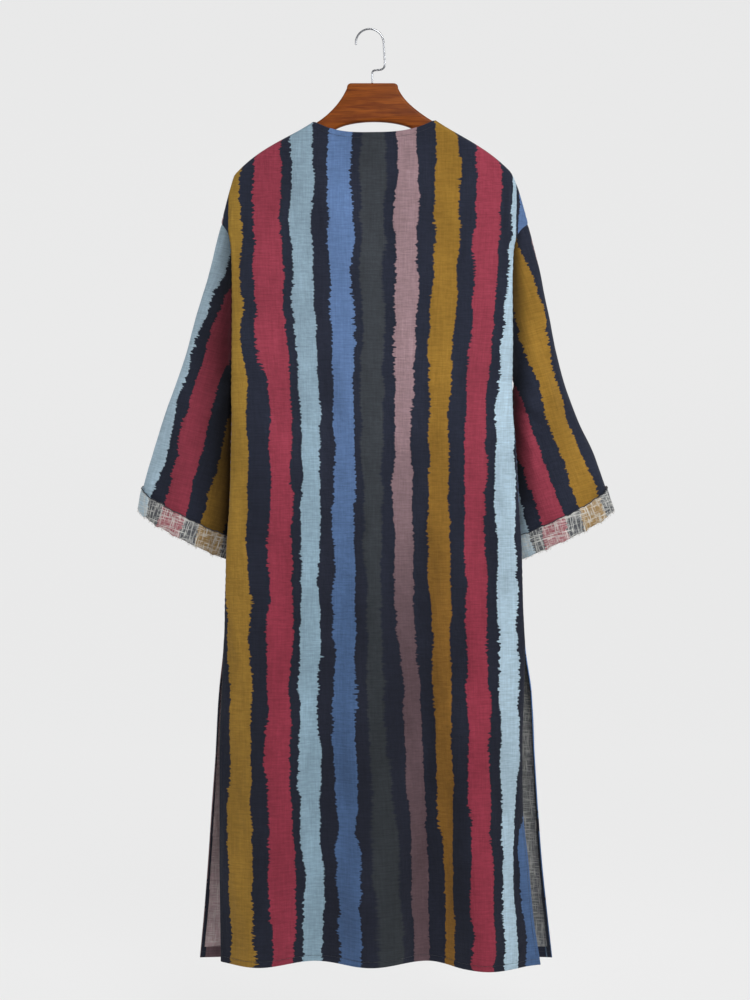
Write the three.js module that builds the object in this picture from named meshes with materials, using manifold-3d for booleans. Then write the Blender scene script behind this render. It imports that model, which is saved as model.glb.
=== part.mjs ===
// A long striped kaftan robe on a wooden hanger with a bent wire hook, seen from its back.
// Millimetres, +Z up, the back faces -Y. The origin is the inside top of the hook, where a rail holds it.
import * as THREE from 'three';
import { mergeVertices } from 'three/addons/utils/BufferGeometryUtils.js';
import Module from 'manifold-3d';

const wasm = await Module();
wasm.setup();

// Cloth and seams
const clothWall = 1.5;
const cuffWall = 1.8;
const seamGap = 0.32;
const mitreLimit = 1.35;
const cuffGap = 0.35;
const mergeDistance = 0.001;

// Garment, where "down" is a depth below the inside top of the hook
const underarmDown = 560;
const slitTopDown = 981;
const backHemDown = 1483;
const frontHemDown = 1488;
const shoulderRound = 10;
const backNeckDrop = 20;
const frontNeckDrop = 170;
const neckSlope = 0.674;
const neckRise = 13.5;
const armholeTuckLength = 16;
const underarmHalf = { left: 225, right: 224 };
const armholeHalfDepth = { back: 14, front: 26 };
const underarmDepth = { back: 40, front: 42 };
const hemWave = 2.5;
const hemWaveDepth = 40;
const foldStartDown = 650;
// The back hem hangs a little lower to the right of the middle
const hemLean = 6;
const hemLeanFrom = 85;
const hemLeanRun = 60;

// How square the sections are: a higher power keeps a curve flat longer before it turns
const neckCurve = 3;
const armholePower = 4;
const sleevePower = 2.6;
const shoulderPower = 14;
const sidePower = { back: 6, front: 3 };

// A table's rows as objects, one value for each named column.
function tableOf(columns, rows) {
  const names = columns.split(' ');
  return rows.map((row) => Object.fromEntries(names.map((name, k) => [name, row[k]])));
}

// Shoulder line of each side, out from the neck point
const shoulderLine = [
  { name: 'neckPoint', leftX: 95, leftDown: 147, rightX: 101, rightDown: 144.5 },
  { name: 'armTip', leftX: 220, leftDown: 231, rightX: 219.5, rightDown: 225.5 },
  { name: 'turn', leftX: 227.5, leftDown: 253, rightX: 231.5, rightDown: 250 },
  { name: 'drop', leftX: 235, leftDown: 281, rightX: 241, rightDown: 281 },
  { name: 'seamEnd', leftX: 242, leftDown: 311, rightX: 249, rightDown: 311 },
];

// Body below the underarm: half widths, depths off the middle plane, and where the side edges lie
const bodySections = tableOf('down backLeft backRight frontLeft frontRight back front backEdge frontEdge', [
  [560, 225, 224, 225, 224, 40, 42, 0, 0],
  [600, 225, 224, 225, 224, 41, 44, -9, -9],
  [670, 226, 229, 226, 229, 43, 46, -20, -20],
  [752, 228, 233, 228, 233, 44, 48, -22, -22],
  [832, 233, 238, 233, 238, 44, 49, -22, -22],
  [912, 235, 240, 235, 240, 44, 50, -22, -22],
  [981, 237, 243, 237, 243, 43, 50, -20, -20],
  [1060, 240, 241, 245, 254, 41, 48, -23, -12],
  [1150, 243, 238, 250.5, 259, 38, 44, -25, -2],
  [1240, 243, 239, 257.5, 265, 34, 40, -26, 7],
  [1330, 243, 248, 264, 272, 31, 36, -27, 14],
  [1410, 242, 255, 270.5, 280.5, 28, 33, -27, 20],
  [1490, 241, 267, 278, 289.5, 26, 30, -27, 24],
]);

// Upright folds that grow toward the hem: where each runs, how far out it stands and half its width
const folds = [
  { face: 'back', topX: -130, hemX: -183, depth: 46, half: 94 },
  { face: 'back', topX: -4, hemX: -2, depth: 44, half: 92 },
  { face: 'back', topX: 130, hemX: 186, depth: 47, half: 95 },
  { face: 'front', topX: -110, hemX: -150, depth: 38, half: 88 },
  { face: 'front', topX: 15, hemX: 20, depth: 42, half: 84 },
  { face: 'front', topX: 130, hemX: 182, depth: 40, half: 86 },
];

// Sleeve sections from the armhole (0) to the turned end (10): outer line, inner line, and half depths
const sleeveColumns = 'at outerLeft outerRight outerDown outerY innerX innerDown innerY back front tilt';
const sleeveSections = tableOf(sleeveColumns, [
  [0, 242, 249, 311, 0, 224, 560, 0, 14, 26, 0],
  [1, 251.5, 258, 344, 1, 227, 572, 9, 16, 26, 0],
  [2, 264, 269, 390, 3, 225, 592, 18, 20, 27, 0.05],
  [3, 278, 278, 440, 6, 222, 618, 24, 24, 28, 0.1],
  [4, 296, 291, 500, 10, 220, 652, 27, 28, 30, 0.15],
  [5, 314.5, 308.5, 560, 15, 216, 690, 31, 30, 31, 0.2],
  [6, 335, 330, 620, 20, 212, 730, 34, 32, 32, 0.25],
  [7, 353, 357, 680, 25, 209, 771, 36, 33, 33, 0.3],
  [8, 369, 376, 732, 30, 207, 812, 37, 34, 34, 0.36],
  [9, 372.5, 381, 749, 32, 206, 831, 38, 34, 34, 0.38],
  [10, 376.5, 388, 766, 34, 205, 850, 38, 34, 34, 0.4],
]);
const cuffStart = 8;
const armholeFade = 3.5;

// Rows down the armhole zone (shares of the way to the underarm), then depths
const armholeRows = [
  0, 0.0033, 0.0125, 0.028, 0.06, 0.11, 0.18, 0.27, 0.37, 0.48, 0.6, 0.72, 0.84, 0.92, 0.965, 1,
];
const lowerRows = [600, 670, 752, 832, 912, 981, 1035, 1095, 1160, 1225, 1290, 1355, 1420, 1490];
const neckCells = 6;
const outerCells = 8;

// Hanger and hook
const arcOffset = 4.5;
const wireRadius = 1.6;
const hookRadius = 22.2;
const hangerHalf = 6;
const hangerBevel = 4;
const hangerDrop = 5.3;
const woodTopDown = 85.5;
const woodTopHalf = 41;
const armEndX = 200;
const armDepth = 21;
const holeRadius = 1.95;
const holeDepth = 14;
const stemGap = 0.3;
const woodCorner = 8;
const woodNeckX = 86;
const woodFlare = { outX: 7, down: 24.5, nearX: 62 };
const armTip = { outX: 9, down: 8, underX: 2 };
const woodArch = { leftX: -60, rightX: 66, down: 160, leftTopX: -34, rightTopX: 40, topDown: 143 };
const hookStart = 188;
const hookArcSteps = 18;
const hookSteps = 56;

// Middle of the wire below its arc: the riser, the crank under it and the stem
const hookRun = tableOf('x down', [
  [18.9, 41],
  [19.9, 54],
  [18.8, 60.5],
  [14, 63.9],
  [5, 64.3],
  [1, 65.2],
  [-0.8, 69],
  [-0.5, 78],
  [0, 90],
]);

const palette = {
  backCloth: { color: 0x3a3441, roughness: 0.95 },
  frontCloth: { color: 0x403a45, roughness: 0.95 },
  sleeveCloth: { color: 0x4a3540, roughness: 0.95 },
  cuffCloth: { color: 0xa99f9c, roughness: 1 },
  wood: { color: 0x8b4d27, roughness: 0.4 },
  steel: { color: 0xb9bcc0, roughness: 0.25, metalness: 1 },
};

const lerp = THREE.MathUtils.lerp;
const clamp = THREE.MathUtils.clamp;
const smooth = (t) => THREE.MathUtils.smoothstep(t, 0, 1);

// A value read from a table between its rows, along a curve that never overshoots them.
function valueAt(table, key, column, place) {
  const x = table.map((row) => row[key]);
  const v = table.map((row) => row[column]);
  const last = x.length - 1;
  const slopes = x.slice(1).map((next, k) => (v[k + 1] - v[k]) / (next - x[k]));
  const tangent = (k) => {
    if (k === 0) return slopes[0];
    if (k === last) return slopes[last - 1];
    const [before, after] = [slopes[k - 1], slopes[k]];
    return before * after > 0 ? (2 * before * after) / (before + after) : 0;
  };
  const at = clamp(place, x[0], x[last]);
  let k = 0;
  while (k < last - 1 && at > x[k + 1]) k += 1;
  const width = x[k + 1] - x[k];
  const t = (at - x[k]) / width;
  const rest = 1 - t;
  return v[k] * rest * rest * (1 + 2 * t) + v[k + 1] * t * t * (3 - 2 * t)
    + width * (tangent(k) * t * rest * rest - tangent(k + 1) * t * t * rest);
}

// Depth of the shoulder line, carried on level over the neck.
function ridgeDown(side, x) {
  const neck = shoulderLine[0][`${side}X`];
  const neckDown = shoulderLine[0][`${side}Down`];
  if (x < neck) return neckDown - Math.min(neckSlope * (neck - x), neckRise);
  return valueAt(shoulderLine, `${side}X`, `${side}Down`, x);
}

// Half the width between the two armhole seams, at a depth below the shoulder seam's end.
function armholeX(side, share) {
  const end = shoulderLine[shoulderLine.length - 1];
  const reach = end[`${side}X`] - underarmHalf[side];
  const below = share * (underarmDown - end[`${side}Down`]);
  return underarmHalf[side] + reach * Math.exp(-below / armholeTuckLength);
}

// How round an armhole or a sleeve section is, from 0 at its ends to 1 in its middle.
const loopDepth = (share, power) => Math.sqrt(Math.max(0, 1 - Math.abs(2 * share - 1) ** power));

// Place across a panel's half, closer together at the neck point and where it turns at its side.
function acrossX(neck, edge, column) {
  const neckShare = neckCells / (neckCells + outerCells);
  if (column <= neckShare) return neck * Math.sin(column / neckShare * Math.PI / 2);
  const out = (column - neckShare) / (1 - neckShare);
  return neck + (edge - neck) * Math.sin(out * Math.PI / 2);
}

// How far the folds of a face stand out at a place across it and a depth.
function foldReach(face, x, down) {
  const run = (down - foldStartDown) / (backHemDown - foldStartDown);
  const grown = smooth(run);
  let reach = 0;
  for (const fold of folds) {
    if (fold.face !== face) continue;
    const middle = lerp(fold.topX, fold.hemX, clamp(run, 0, 1));
    const off = Math.abs(x - middle) / fold.half;
    if (off < 1) reach += fold.depth * Math.cos(off * Math.PI / 2) ** 2;
  }
  return reach * grown;
}

// Point of a panel's outer face. column runs from -1 (left) to 1 (right).
// row is a share of the armhole zone up to 1, and a depth in mm beyond it.
function panelPoint(face, column, row) {
  const side = column < 0 ? 'left' : 'right';
  const sign = column < 0 ? -1 : 1;
  const out = face === 'back' ? -1 : 1;
  const share = Math.min(row, 1);
  const c = Math.abs(column);
  const neck = shoulderLine[0][`${side}X`];
  const seamEnd = shoulderLine[shoulderLine.length - 1];
  const topX = acrossX(neck, seamEnd[`${side}X`], c);
  let topDown = ridgeDown(side, topX);
  if (topX < neck) {
    const middleDown = (shoulderLine[0].leftDown + shoulderLine[0].rightDown) / 2;
    const pointDown = lerp(middleDown, shoulderLine[0][`${side}Down`], topX / neck);
    const backNeck = backNeckDrop * (1 - (topX / neck) ** neckCurve);
    const frontNeck = frontNeckDrop * (1 - topX / neck);
    topDown = pointDown + (face === 'back' ? backNeck : frontNeck);
  }
  if (row <= 1) {
    const down = lerp(topDown, underarmDown, share);
    const x = acrossX(neck, armholeX(side, share), c);
    const virtualTop = ridgeDown(side, topX);
    const ahead = ridgeDown(side, topX + 1) - ridgeDown(side, topX - 1);
    const slope = topX < neck ? neckSlope : ahead / 2;
    const drop = Math.min((down - virtualTop) / Math.hypot(1, slope), shoulderRound);
    const round = Math.sqrt(shoulderRound ** 2 - (shoulderRound - drop) ** 2);
    const hang = (down - virtualTop) / (underarmDown - virtualTop);
    const swell = (underarmDepth[face] - shoulderRound) * (hang + smooth(hang)) / 2;
    const edge = armholeHalfDepth[face] * loopDepth(share, armholePower);
    const power = lerp(sidePower[face], shoulderPower, (1 - share) ** 4);
    const flat = Math.sqrt(1 - (c < 1 ? (x / armholeX(side, share)) ** power : 1));
    const depth = lerp(edge, round + swell, flat);
    return new THREE.Vector3(sign * x, out * depth, -down);
  }
  const name = side === 'left' ? 'Left' : 'Right';
  const half = valueAt(bodySections, 'down', face + name, row);
  const x = acrossX(neck, half, c);
  const edgeY = valueAt(bodySections, 'down', `${face}Edge`, row);
  const fold = foldReach(face, sign * x, row);
  const depth = valueAt(bodySections, 'down', face, row) + fold;
  const flat = Math.sqrt(1 - (c < 1 ? (x / half) ** sidePower[face] : 1));
  const y = lerp(edgeY, out * depth, flat);
  const lastRow = lowerRows[lowerRows.length - 1];
  const lean = hemLean * smooth((sign * x - hemLeanFrom) / hemLeanRun);
  const hem = face === 'back' ? backHemDown + lean : frontHemDown;
  const hemShare = smooth((row - slitTopDown) / (lastRow - slitTopDown));
  const settled = (hem - lastRow + hemWave * fold / hemWaveDepth) * hemShare;
  return new THREE.Vector3(sign * x, y, -(row + settled));
}

function panelGrid(face) {
  const cells = neckCells + outerCells;
  const order = face === 'back' ? 1 : -1;
  const rows = [...armholeRows, ...lowerRows];
  return rows.map((row) => {
    const line = [];
    for (let i = -cells; i <= cells; i += 1) line.push(panelPoint(face, order * i / cells, row));
    return line;
  });
}

// Point of a sleeve's outer face. share runs down the armhole from its top (0) to the underarm (1).
function sleevePoint(side, face, share, at) {
  const sign = side === 'left' ? -1 : 1;
  const out = face === 'back' ? -1 : 1;
  const value = (column) => valueAt(sleeveSections, 'at', column, at);
  const outerX = value(side === 'left' ? 'outerLeft' : 'outerRight');
  const even = (1 - Math.cos(share * Math.PI)) / 2;
  const w = lerp(share, even, smooth(at / armholeFade));
  const power = lerp(armholePower, sleevePower, smooth(at / armholeFade));
  const x = lerp(outerX, value('innerX'), w);
  const middleY = lerp(value('outerY'), value('innerY'), w);
  const reach = out * value(face) * loopDepth(w, power);
  const down = lerp(value('outerDown'), value('innerDown'), w) - value('tilt') * reach;
  // The seam itself turns in quickly below the shoulder, and the sleeve leaves it within a hand's width.
  const fade = (1 - smooth(at / armholeFade)) ** 2;
  const end = shoulderLine[shoulderLine.length - 1];
  const straight = lerp(end[`${side}X`], sleeveSections[0].innerX, share);
  const pull = (armholeX(side, share) - straight) * fade;
  return new THREE.Vector3(sign * (x + pull), middleY + reach, -down);
}

function sleeveLoop(side, at) {
  const back = armholeRows.map((share) => ({ face: 'back', share }));
  const front = armholeRows.slice(1, -1).reverse().map((share) => ({ face: 'front', share }));
  const loop = [...back, ...front].map(({ face, share }) => {
    if (at === 0) return armholeSeam(side, face, share);
    return sleevePoint(side, face, share, at);
  });
  return side === 'left' ? loop : loop.reverse();
}

// The armhole seam is the panel's own side edge, so that both pieces share it.
function armholeSeam(side, face, share) {
  return panelPoint(face, side === 'left' ? -1 : 1, share);
}

function sleeveGrid(side) {
  return sleeveSections.map((section) => sleeveLoop(side, section.at));
}

// Normal of a grid at one of its points, facing out of the cloth.
function gridNormal(grid, j, i, loop) {
  const width = grid[0].length;
  const column = (k) => (loop ? (k + width) % width : clamp(k, 0, width - 1));
  const row = (k) => clamp(k, 0, grid.length - 1);
  const down = grid[row(j + 1)][i].clone().sub(grid[row(j - 1)][i]);
  const across = grid[j][column(i + 1)].clone().sub(grid[j][column(i - 1)]);
  return down.cross(across).normalize();
}

const pointKey = (p) => [p.x, p.y, p.z].map((value) => value.toFixed(3)).join(' ');

// Each border point that two pieces share keeps one direction in, the mean of the pieces' own.
function findSeams(pieces) {
  const seams = new Map();
  for (const { name, grid, loop } of pieces) {
    const [height, width] = [grid.length, grid[0].length];
    for (let j = 0; j < height; j += 1) {
      for (let i = 0; i < width; i += 1) {
        const border = j === 0 || j === height - 1 || (!loop && (i === 0 || i === width - 1));
        if (!border) continue;
        const key = pointKey(grid[j][i]);
        if (!seams.has(key)) seams.set(key, { names: new Set(), normal: new THREE.Vector3(), count: 0 });
        const seam = seams.get(key);
        seam.names.add(name);
        seam.normal.add(gridNormal(grid, j, i, loop));
        seam.count += 1;
      }
    }
  }
  for (const seam of seams.values()) {
    seam.mitre = Math.min(seam.count / Math.max(seam.normal.length(), 0.01), mitreLimit);
    seam.normal.normalize();
  }
  return seams;
}

// Moves a seam point half the gap back into its own piece, square to the seam.
function seamStep(point, inward, along, normal) {
  const way = new THREE.Vector3().crossVectors(normal, along).normalize();
  if (way.dot(inward.clone().sub(point)) < 0) way.negate();
  return way.multiplyScalar(seamGap / 2);
}

// A closed wall: the grid's points outside, the same points moved in by its thickness, and its edges.
function clothGeometry(grid, loop, wall, seams) {
  const [height, width] = [grid.length, grid[0].length];
  const outside = [];
  const inside = [];
  for (let j = 0; j < height; j += 1) {
    for (let i = 0; i < width; i += 1) {
      const point = grid[j][i].clone();
      const seam = seams.get(pointKey(point));
      const shared = seam && seam.names.size > 1;
      const normal = shared ? seam.normal : gridNormal(grid, j, i, loop);
      const thickness = shared ? wall * seam.mitre : wall;
      if (shared && (j === 0 || j === height - 1)) {
        const left = grid[j][loop ? (i + width - 1) % width : Math.max(i - 1, 0)];
        const right = grid[j][loop ? (i + 1) % width : Math.min(i + 1, width - 1)];
        const inner = grid[j === 0 ? 1 : height - 2][i];
        point.add(seamStep(grid[j][i], inner, right.clone().sub(left), normal));
      }
      if (shared && !loop && (i === 0 || i === width - 1)) {
        const above = grid[Math.max(j - 1, 0)][i];
        const below = grid[Math.min(j + 1, height - 1)][i];
        const inner = grid[j][i === 0 ? 1 : width - 2];
        point.add(seamStep(grid[j][i], inner, below.clone().sub(above), normal));
      }
      outside.push(point);
      inside.push(point.clone().addScaledVector(normal, -thickness));
    }
  }
  const faces = [];
  const across = loop ? width : width - 1;
  for (let j = 0; j < height - 1; j += 1) {
    for (let i = 0; i < across; i += 1) {
      const a = j * width + i;
      const b = j * width + (i + 1) % width;
      faces.push([a, a + width, b], [b, a + width, b + width]);
    }
  }
  return closedGeometry(outside, inside, faces);
}

// Joins an outer and an inner skin along the outer skin's open edges.
function closedGeometry(outside, inside, faces) {
  const shift = outside.length;
  const used = new Set();
  const index = [];
  for (const [a, b, c] of faces) {
    index.push(a, b, c, a + shift, c + shift, b + shift);
    used.add(`${a} ${b}`).add(`${b} ${c}`).add(`${c} ${a}`);
  }
  for (const [a, b, c] of faces) {
    for (const [p, q] of [[a, b], [b, c], [c, a]]) {
      if (used.has(`${q} ${p}`)) continue;
      // Both pieces at a seam split its band the same way, from the upper outer point down.
      if (outside[q].z > outside[p].z) index.push(q, p, p + shift, q, p + shift, q + shift);
      else index.push(q, p, q + shift, p, p + shift, q + shift);
    }
  }
  const geometry = new THREE.BufferGeometry();
  const positions = [...outside, ...inside].flatMap((p) => [p.x, p.y, p.z]);
  geometry.setAttribute('position', new THREE.Float32BufferAttribute(positions, 3));
  geometry.setIndex(index);
  return geometry;
}

// The turned-back cuff lies on the sleeve's own last sections, moved out.
function cuffGeometry(sleeve, seams) {
  const first = sleeveSections.findIndex((section) => section.at === cuffStart);
  const outer = sleeve.map((loop, j) => loop.map((point, i) => point.clone()
    .addScaledVector(gridNormal(sleeve, j, i, true), cuffGap + cuffWall)));
  return clothGeometry(outer.slice(first), true, cuffWall, seams);
}

// Wooden hanger: its outline from the front, extruded and rounded, with the hook's hole.
function hangerGeometry() {
  const slopeX = shoulderLine[1].rightX - shoulderLine[0].rightX;
  const slope = (shoulderLine[1].rightDown - shoulderLine[0].rightDown) / slopeX;
  const armTop = (sign, x) => -(ridgeDown(sign < 0 ? 'left' : 'right', x) + hangerDrop);
  const top = -woodTopDown;
  const inTop = woodTopHalf - woodCorner;
  const flareX = woodTopHalf + woodFlare.outX;
  const flareZ = top - woodFlare.down;
  const nearRise = (woodNeckX - woodFlare.nearX) * slope;
  const tipX = armEndX + armTip.outX;
  const underX = armEndX + armTip.underX;
  const [rightNeck, leftNeck] = [armTop(1, woodNeckX), armTop(-1, woodNeckX)];
  const [rightEnd, leftEnd] = [armTop(1, armEndX), armTop(-1, armEndX)];
  const { leftX, rightX, down, leftTopX, rightTopX, topDown } = woodArch;
  const outline = new THREE.Shape();
  outline.moveTo(-woodTopHalf, top - woodCorner);
  outline.quadraticCurveTo(-woodTopHalf, top, -inTop, top);
  outline.lineTo(inTop, top);
  outline.quadraticCurveTo(woodTopHalf, top, woodTopHalf, top - woodCorner);
  outline.bezierCurveTo(flareX, flareZ, woodFlare.nearX, rightNeck + nearRise, woodNeckX, rightNeck);
  outline.lineTo(armEndX, rightEnd);
  outline.quadraticCurveTo(tipX, rightEnd - armTip.down, underX, rightEnd - armDepth);
  outline.lineTo(rightX, -down);
  outline.bezierCurveTo(rightTopX, -topDown, leftTopX, -topDown, leftX, -down);
  outline.lineTo(-underX, leftEnd - armDepth);
  outline.quadraticCurveTo(-tipX, leftEnd - armTip.down, -armEndX, leftEnd);
  outline.lineTo(-woodNeckX, leftNeck);
  const leftNearZ = leftNeck + nearRise;
  outline.bezierCurveTo(-woodFlare.nearX, leftNearZ, -flareX, flareZ, -woodTopHalf, top - woodCorner);
  const body = new THREE.ExtrudeGeometry(outline, {
    depth: 2 * (hangerHalf - hangerBevel),
    bevelThickness: hangerBevel,
    bevelSize: hangerBevel,
    bevelOffset: -hangerBevel,
    bevelSegments: 2,
    curveSegments: 6,
  });
  body.translate(0, 0, -(hangerHalf - hangerBevel));
  body.rotateX(Math.PI / 2);
  const hole = new THREE.CylinderGeometry(holeRadius, holeRadius, 2 * holeDepth, 16);
  hole.rotateX(Math.PI / 2);
  hole.translate(0, 0, top);
  return fromSolid(toSolid(body).subtract(toSolid(hole)));
}

function toSolid(source) {
  const bare = source.clone();
  bare.deleteAttribute('normal');
  bare.deleteAttribute('uv');
  const merged = mergeVertices(bare, mergeDistance);
  return new wasm.Manifold(new wasm.Mesh({
    numProp: 3,
    vertProperties: new Float32Array(merged.attributes.position.array),
    triVerts: new Uint32Array(merged.index.array),
  }));
}

function fromSolid(solid) {
  const mesh = solid.getMesh();
  const geometry = new THREE.BufferGeometry();
  geometry.setAttribute('position', new THREE.Float32BufferAttribute(mesh.vertProperties, 3));
  geometry.setIndex(Array.from(mesh.triVerts));
  return geometry;
}

// Bent wire: an open arc over the rail, a riser, a crank back to the middle, and the stem in the wood.
function hookGeometry() {
  const arcX = -arcOffset;
  const arcZ = -(hookRadius - wireRadius);
  const points = [];
  for (let k = 0; k <= hookArcSteps; k += 1) {
    const angle = THREE.MathUtils.degToRad(hookStart) * (1 - k / hookArcSteps);
    const [x, z] = [arcX + hookRadius * Math.cos(angle), arcZ + hookRadius * Math.sin(angle)];
    points.push(new THREE.Vector3(x, 0, z));
  }
  for (const { x, down } of hookRun) points.push(new THREE.Vector3(x, 0, -down));
  points.push(new THREE.Vector3(0, 0, -(woodTopDown + holeDepth - stemGap)));
  const section = new THREE.Shape();
  section.absarc(0, 0, wireRadius, 0, 2 * Math.PI, false);
  return new THREE.ExtrudeGeometry(section, {
    steps: hookSteps,
    curveSegments: 4,
    bevelEnabled: false,
    extrudePath: new THREE.CatmullRomCurve3(points, false, 'centripetal'),
  });
}

function addMesh(group, name, geometry, look) {
  const bare = geometry.clone();
  bare.deleteAttribute('uv');
  bare.deleteAttribute('normal');
  const merged = mergeVertices(bare, mergeDistance);
  merged.computeVertexNormals();
  const mesh = new THREE.Mesh(merged, new THREE.MeshStandardMaterial(look));
  mesh.name = name;
  group.add(mesh);
}

const pieces = [
  { name: 'back_panel', grid: panelGrid('back'), loop: false, look: palette.backCloth },
  { name: 'front_panel', grid: panelGrid('front'), loop: false, look: palette.frontCloth },
  { name: 'sleeve_left', grid: sleeveGrid('left'), loop: true, look: palette.sleeveCloth },
  { name: 'sleeve_right', grid: sleeveGrid('right'), loop: true, look: palette.sleeveCloth },
];
const seams = findSeams(pieces);

const robe = new THREE.Group();
robe.position.x = arcOffset;
for (const { name, grid, loop, look } of pieces) {
  addMesh(robe, name, clothGeometry(grid, loop, clothWall, seams), look);
}
addMesh(robe, 'cuff_left', cuffGeometry(pieces[2].grid, seams), palette.cuffCloth);
addMesh(robe, 'cuff_right', cuffGeometry(pieces[3].grid, seams), palette.cuffCloth);
addMesh(robe, 'hanger_body', hangerGeometry(), palette.wood);
addMesh(robe, 'hanger_hook', hookGeometry(), palette.steel);

export default robe;
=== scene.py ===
import math

import bmesh
import bpy
import numpy as np
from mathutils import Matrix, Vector


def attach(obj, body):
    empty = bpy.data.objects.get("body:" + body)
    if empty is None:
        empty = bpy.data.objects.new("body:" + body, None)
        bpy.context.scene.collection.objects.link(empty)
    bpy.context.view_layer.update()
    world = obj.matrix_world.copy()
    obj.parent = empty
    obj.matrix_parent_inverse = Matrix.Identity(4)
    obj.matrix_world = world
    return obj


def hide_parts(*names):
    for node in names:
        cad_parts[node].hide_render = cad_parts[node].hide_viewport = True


# Striped kaftan robe on a wooden hanger. Sizes are millimetres until they become a mesh, in metres.
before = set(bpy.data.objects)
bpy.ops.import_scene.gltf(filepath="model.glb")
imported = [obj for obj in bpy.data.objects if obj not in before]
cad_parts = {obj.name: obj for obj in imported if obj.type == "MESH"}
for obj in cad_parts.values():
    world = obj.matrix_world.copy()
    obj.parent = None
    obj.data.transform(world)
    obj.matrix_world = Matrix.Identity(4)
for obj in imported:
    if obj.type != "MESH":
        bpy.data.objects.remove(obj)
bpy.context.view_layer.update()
print("frame loaded")

mm = 0.001
garmentX = 4.5  # the hook's arc is centred this far left of the hanger's middle


def rowsOf(columns, rows):
    names = columns.split()
    return [dict(zip(names, row)) for row in rows]


def tableOf(columns, rows):
    names = columns.split()
    return {name: np.array([row[k] for row in rows], float) for k, name in enumerate(names)}


# Cloth colours in daylight

stripeColours = {
    "navy": "#262a38",
    "mustard": "#926e2b",
    "paleMustard": "#997832",
    "crimson": "#933a4a",
    "lightBlue": "#8aa2b1",
    # Painted light: the light-blue stripe coloured lighter where it hangs on the garment's right
    "paleBlue": "#afc7d6",
    "blue": "#5d78a3",
    "charcoal": "#3a3e43",
    "mauve": "#997e83",
}
# Painted shade: these stripes are coloured darker towards the hem, from about the knee down, for the shade
# low on the hanging cloth
paintedHemShadeColours = {
    "navy": "#20232f",
    "mustard": "#7f5a25",
    "paleMustard": "#8c6b2c",
    "crimson": "#8a3242",
    "lightBlue": "#86a0af",
    "paleBlue": "#a3bac8",
    "blue": "#476086",
    "charcoal": "#2f3337",
    "mauve": "#5b484d",
}
paintedHemShadeDown = {"from": 500, "to": 1020}

# Stripes across the cloth at shoulder level, from the middle of the back; the navy ground shows between them.
# The set comes again every 355 mm, as the cloth's own repeat does.
stripeRepeat = 355
stripes = rowsOf("colour start end", [
    ("mauve", -318, -283),
    ("paleMustard", -255, -212),
    ("crimson", -190, -151),
    ("lightBlue", -134, -97.5),
    ("blue", -73, -36),
    ("mauve", 37, 71.5),
    ("mustard", 99, 139),
    ("crimson", 167, 205),
    # Painted light: the light-blue stripe coloured lighter on the garment's right
    ("paleBlue", 224, 261),
    ("blue", 283, 319),
    ("mauve", 392, 426),
    ("mustard", 454, 494),
])
charcoalHalf = {"full": 17, "gone": 22.5, "hemLoss": 7}  # the charcoal stripe's edges melt into the navy


def toLinear(code):
    channels = [int(code[k:k + 2], 16) / 255 for k in (1, 3, 5)]
    return [c / 12.92 if c <= 0.04045 else ((c + 0.055) / 1.055) ** 2.4 for c in channels] + [1.0]


# The garment's form, as the solids have it

garment = {
    "underarmDown": 560,
    "slitTopDown": 981,
    "hemDown": {"back": 1483, "front": 1488},
    "hemLean": 6,
    "hemLeanFrom": 85,
    "hemLeanRun": 60,
    "lastRow": 1490,
    "shoulderRound": 10,
    "backNeckDrop": 20,
    "frontNeckDrop": 170,
    "neckSlope": 0.674,
    "neckRise": 13.5,
    "armholeTuckLength": 16,
    "underarmHalf": {"left": 225, "right": 224},
    "armholeHalfDepth": {"back": 14, "front": 26},
    "underarmDepth": {"back": 40, "front": 42},
    "hemWave": 2.5,
    "hemWaveDepth": 40,
    "foldStartDown": 650,
    "neckCurve": 3,
    "armholePower": 4,
    "sleevePower": 2.6,
    "shoulderPower": 14,
    "sidePower": {"back": 6, "front": 3},
    "armholeFade": 3.5,
    "neckShare": 6 / 14,
    "sleeveLean": 16,
}


shoulderLine = tableOf("leftX leftDown rightX rightDown", [
    [95, 147, 101, 144.5],
    [220, 231, 219.5, 225.5],
    [227.5, 253, 231.5, 250],
    [235, 281, 241, 281],
    [242, 311, 249, 311],
])

bodySections = tableOf("down backLeft backRight frontLeft frontRight back front backEdge frontEdge", [
    [560, 225, 224, 225, 224, 40, 42, 0, 0],
    [600, 225, 224, 225, 224, 41, 44, -9, -9],
    [670, 226, 229, 226, 229, 43, 46, -20, -20],
    [752, 228, 233, 228, 233, 44, 48, -22, -22],
    [832, 233, 238, 233, 238, 44, 49, -22, -22],
    [912, 235, 240, 235, 240, 44, 50, -22, -22],
    [981, 237, 243, 237, 243, 43, 50, -20, -20],
    [1060, 240, 241, 245, 254, 41, 48, -23, -12],
    [1150, 243, 238, 250.5, 259, 38, 44, -25, -2],
    [1240, 243, 239, 257.5, 265, 34, 40, -26, 7],
    [1330, 243, 248, 264, 272, 31, 36, -27, 14],
    [1410, 242, 255, 270.5, 280.5, 28, 33, -27, 20],
    [1490, 241, 267, 278, 289.5, 26, 30, -27, 24],
])

folds = rowsOf("face topX hemX depth half", [
    ("back", -130, -183, 46, 94),
    ("back", -4, -2, 44, 92),
    ("back", 130, 186, 47, 95),
    ("front", -110, -150, 38, 88),
    ("front", 15, 20, 42, 84),
    ("front", 130, 182, 40, 86),
])

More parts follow.
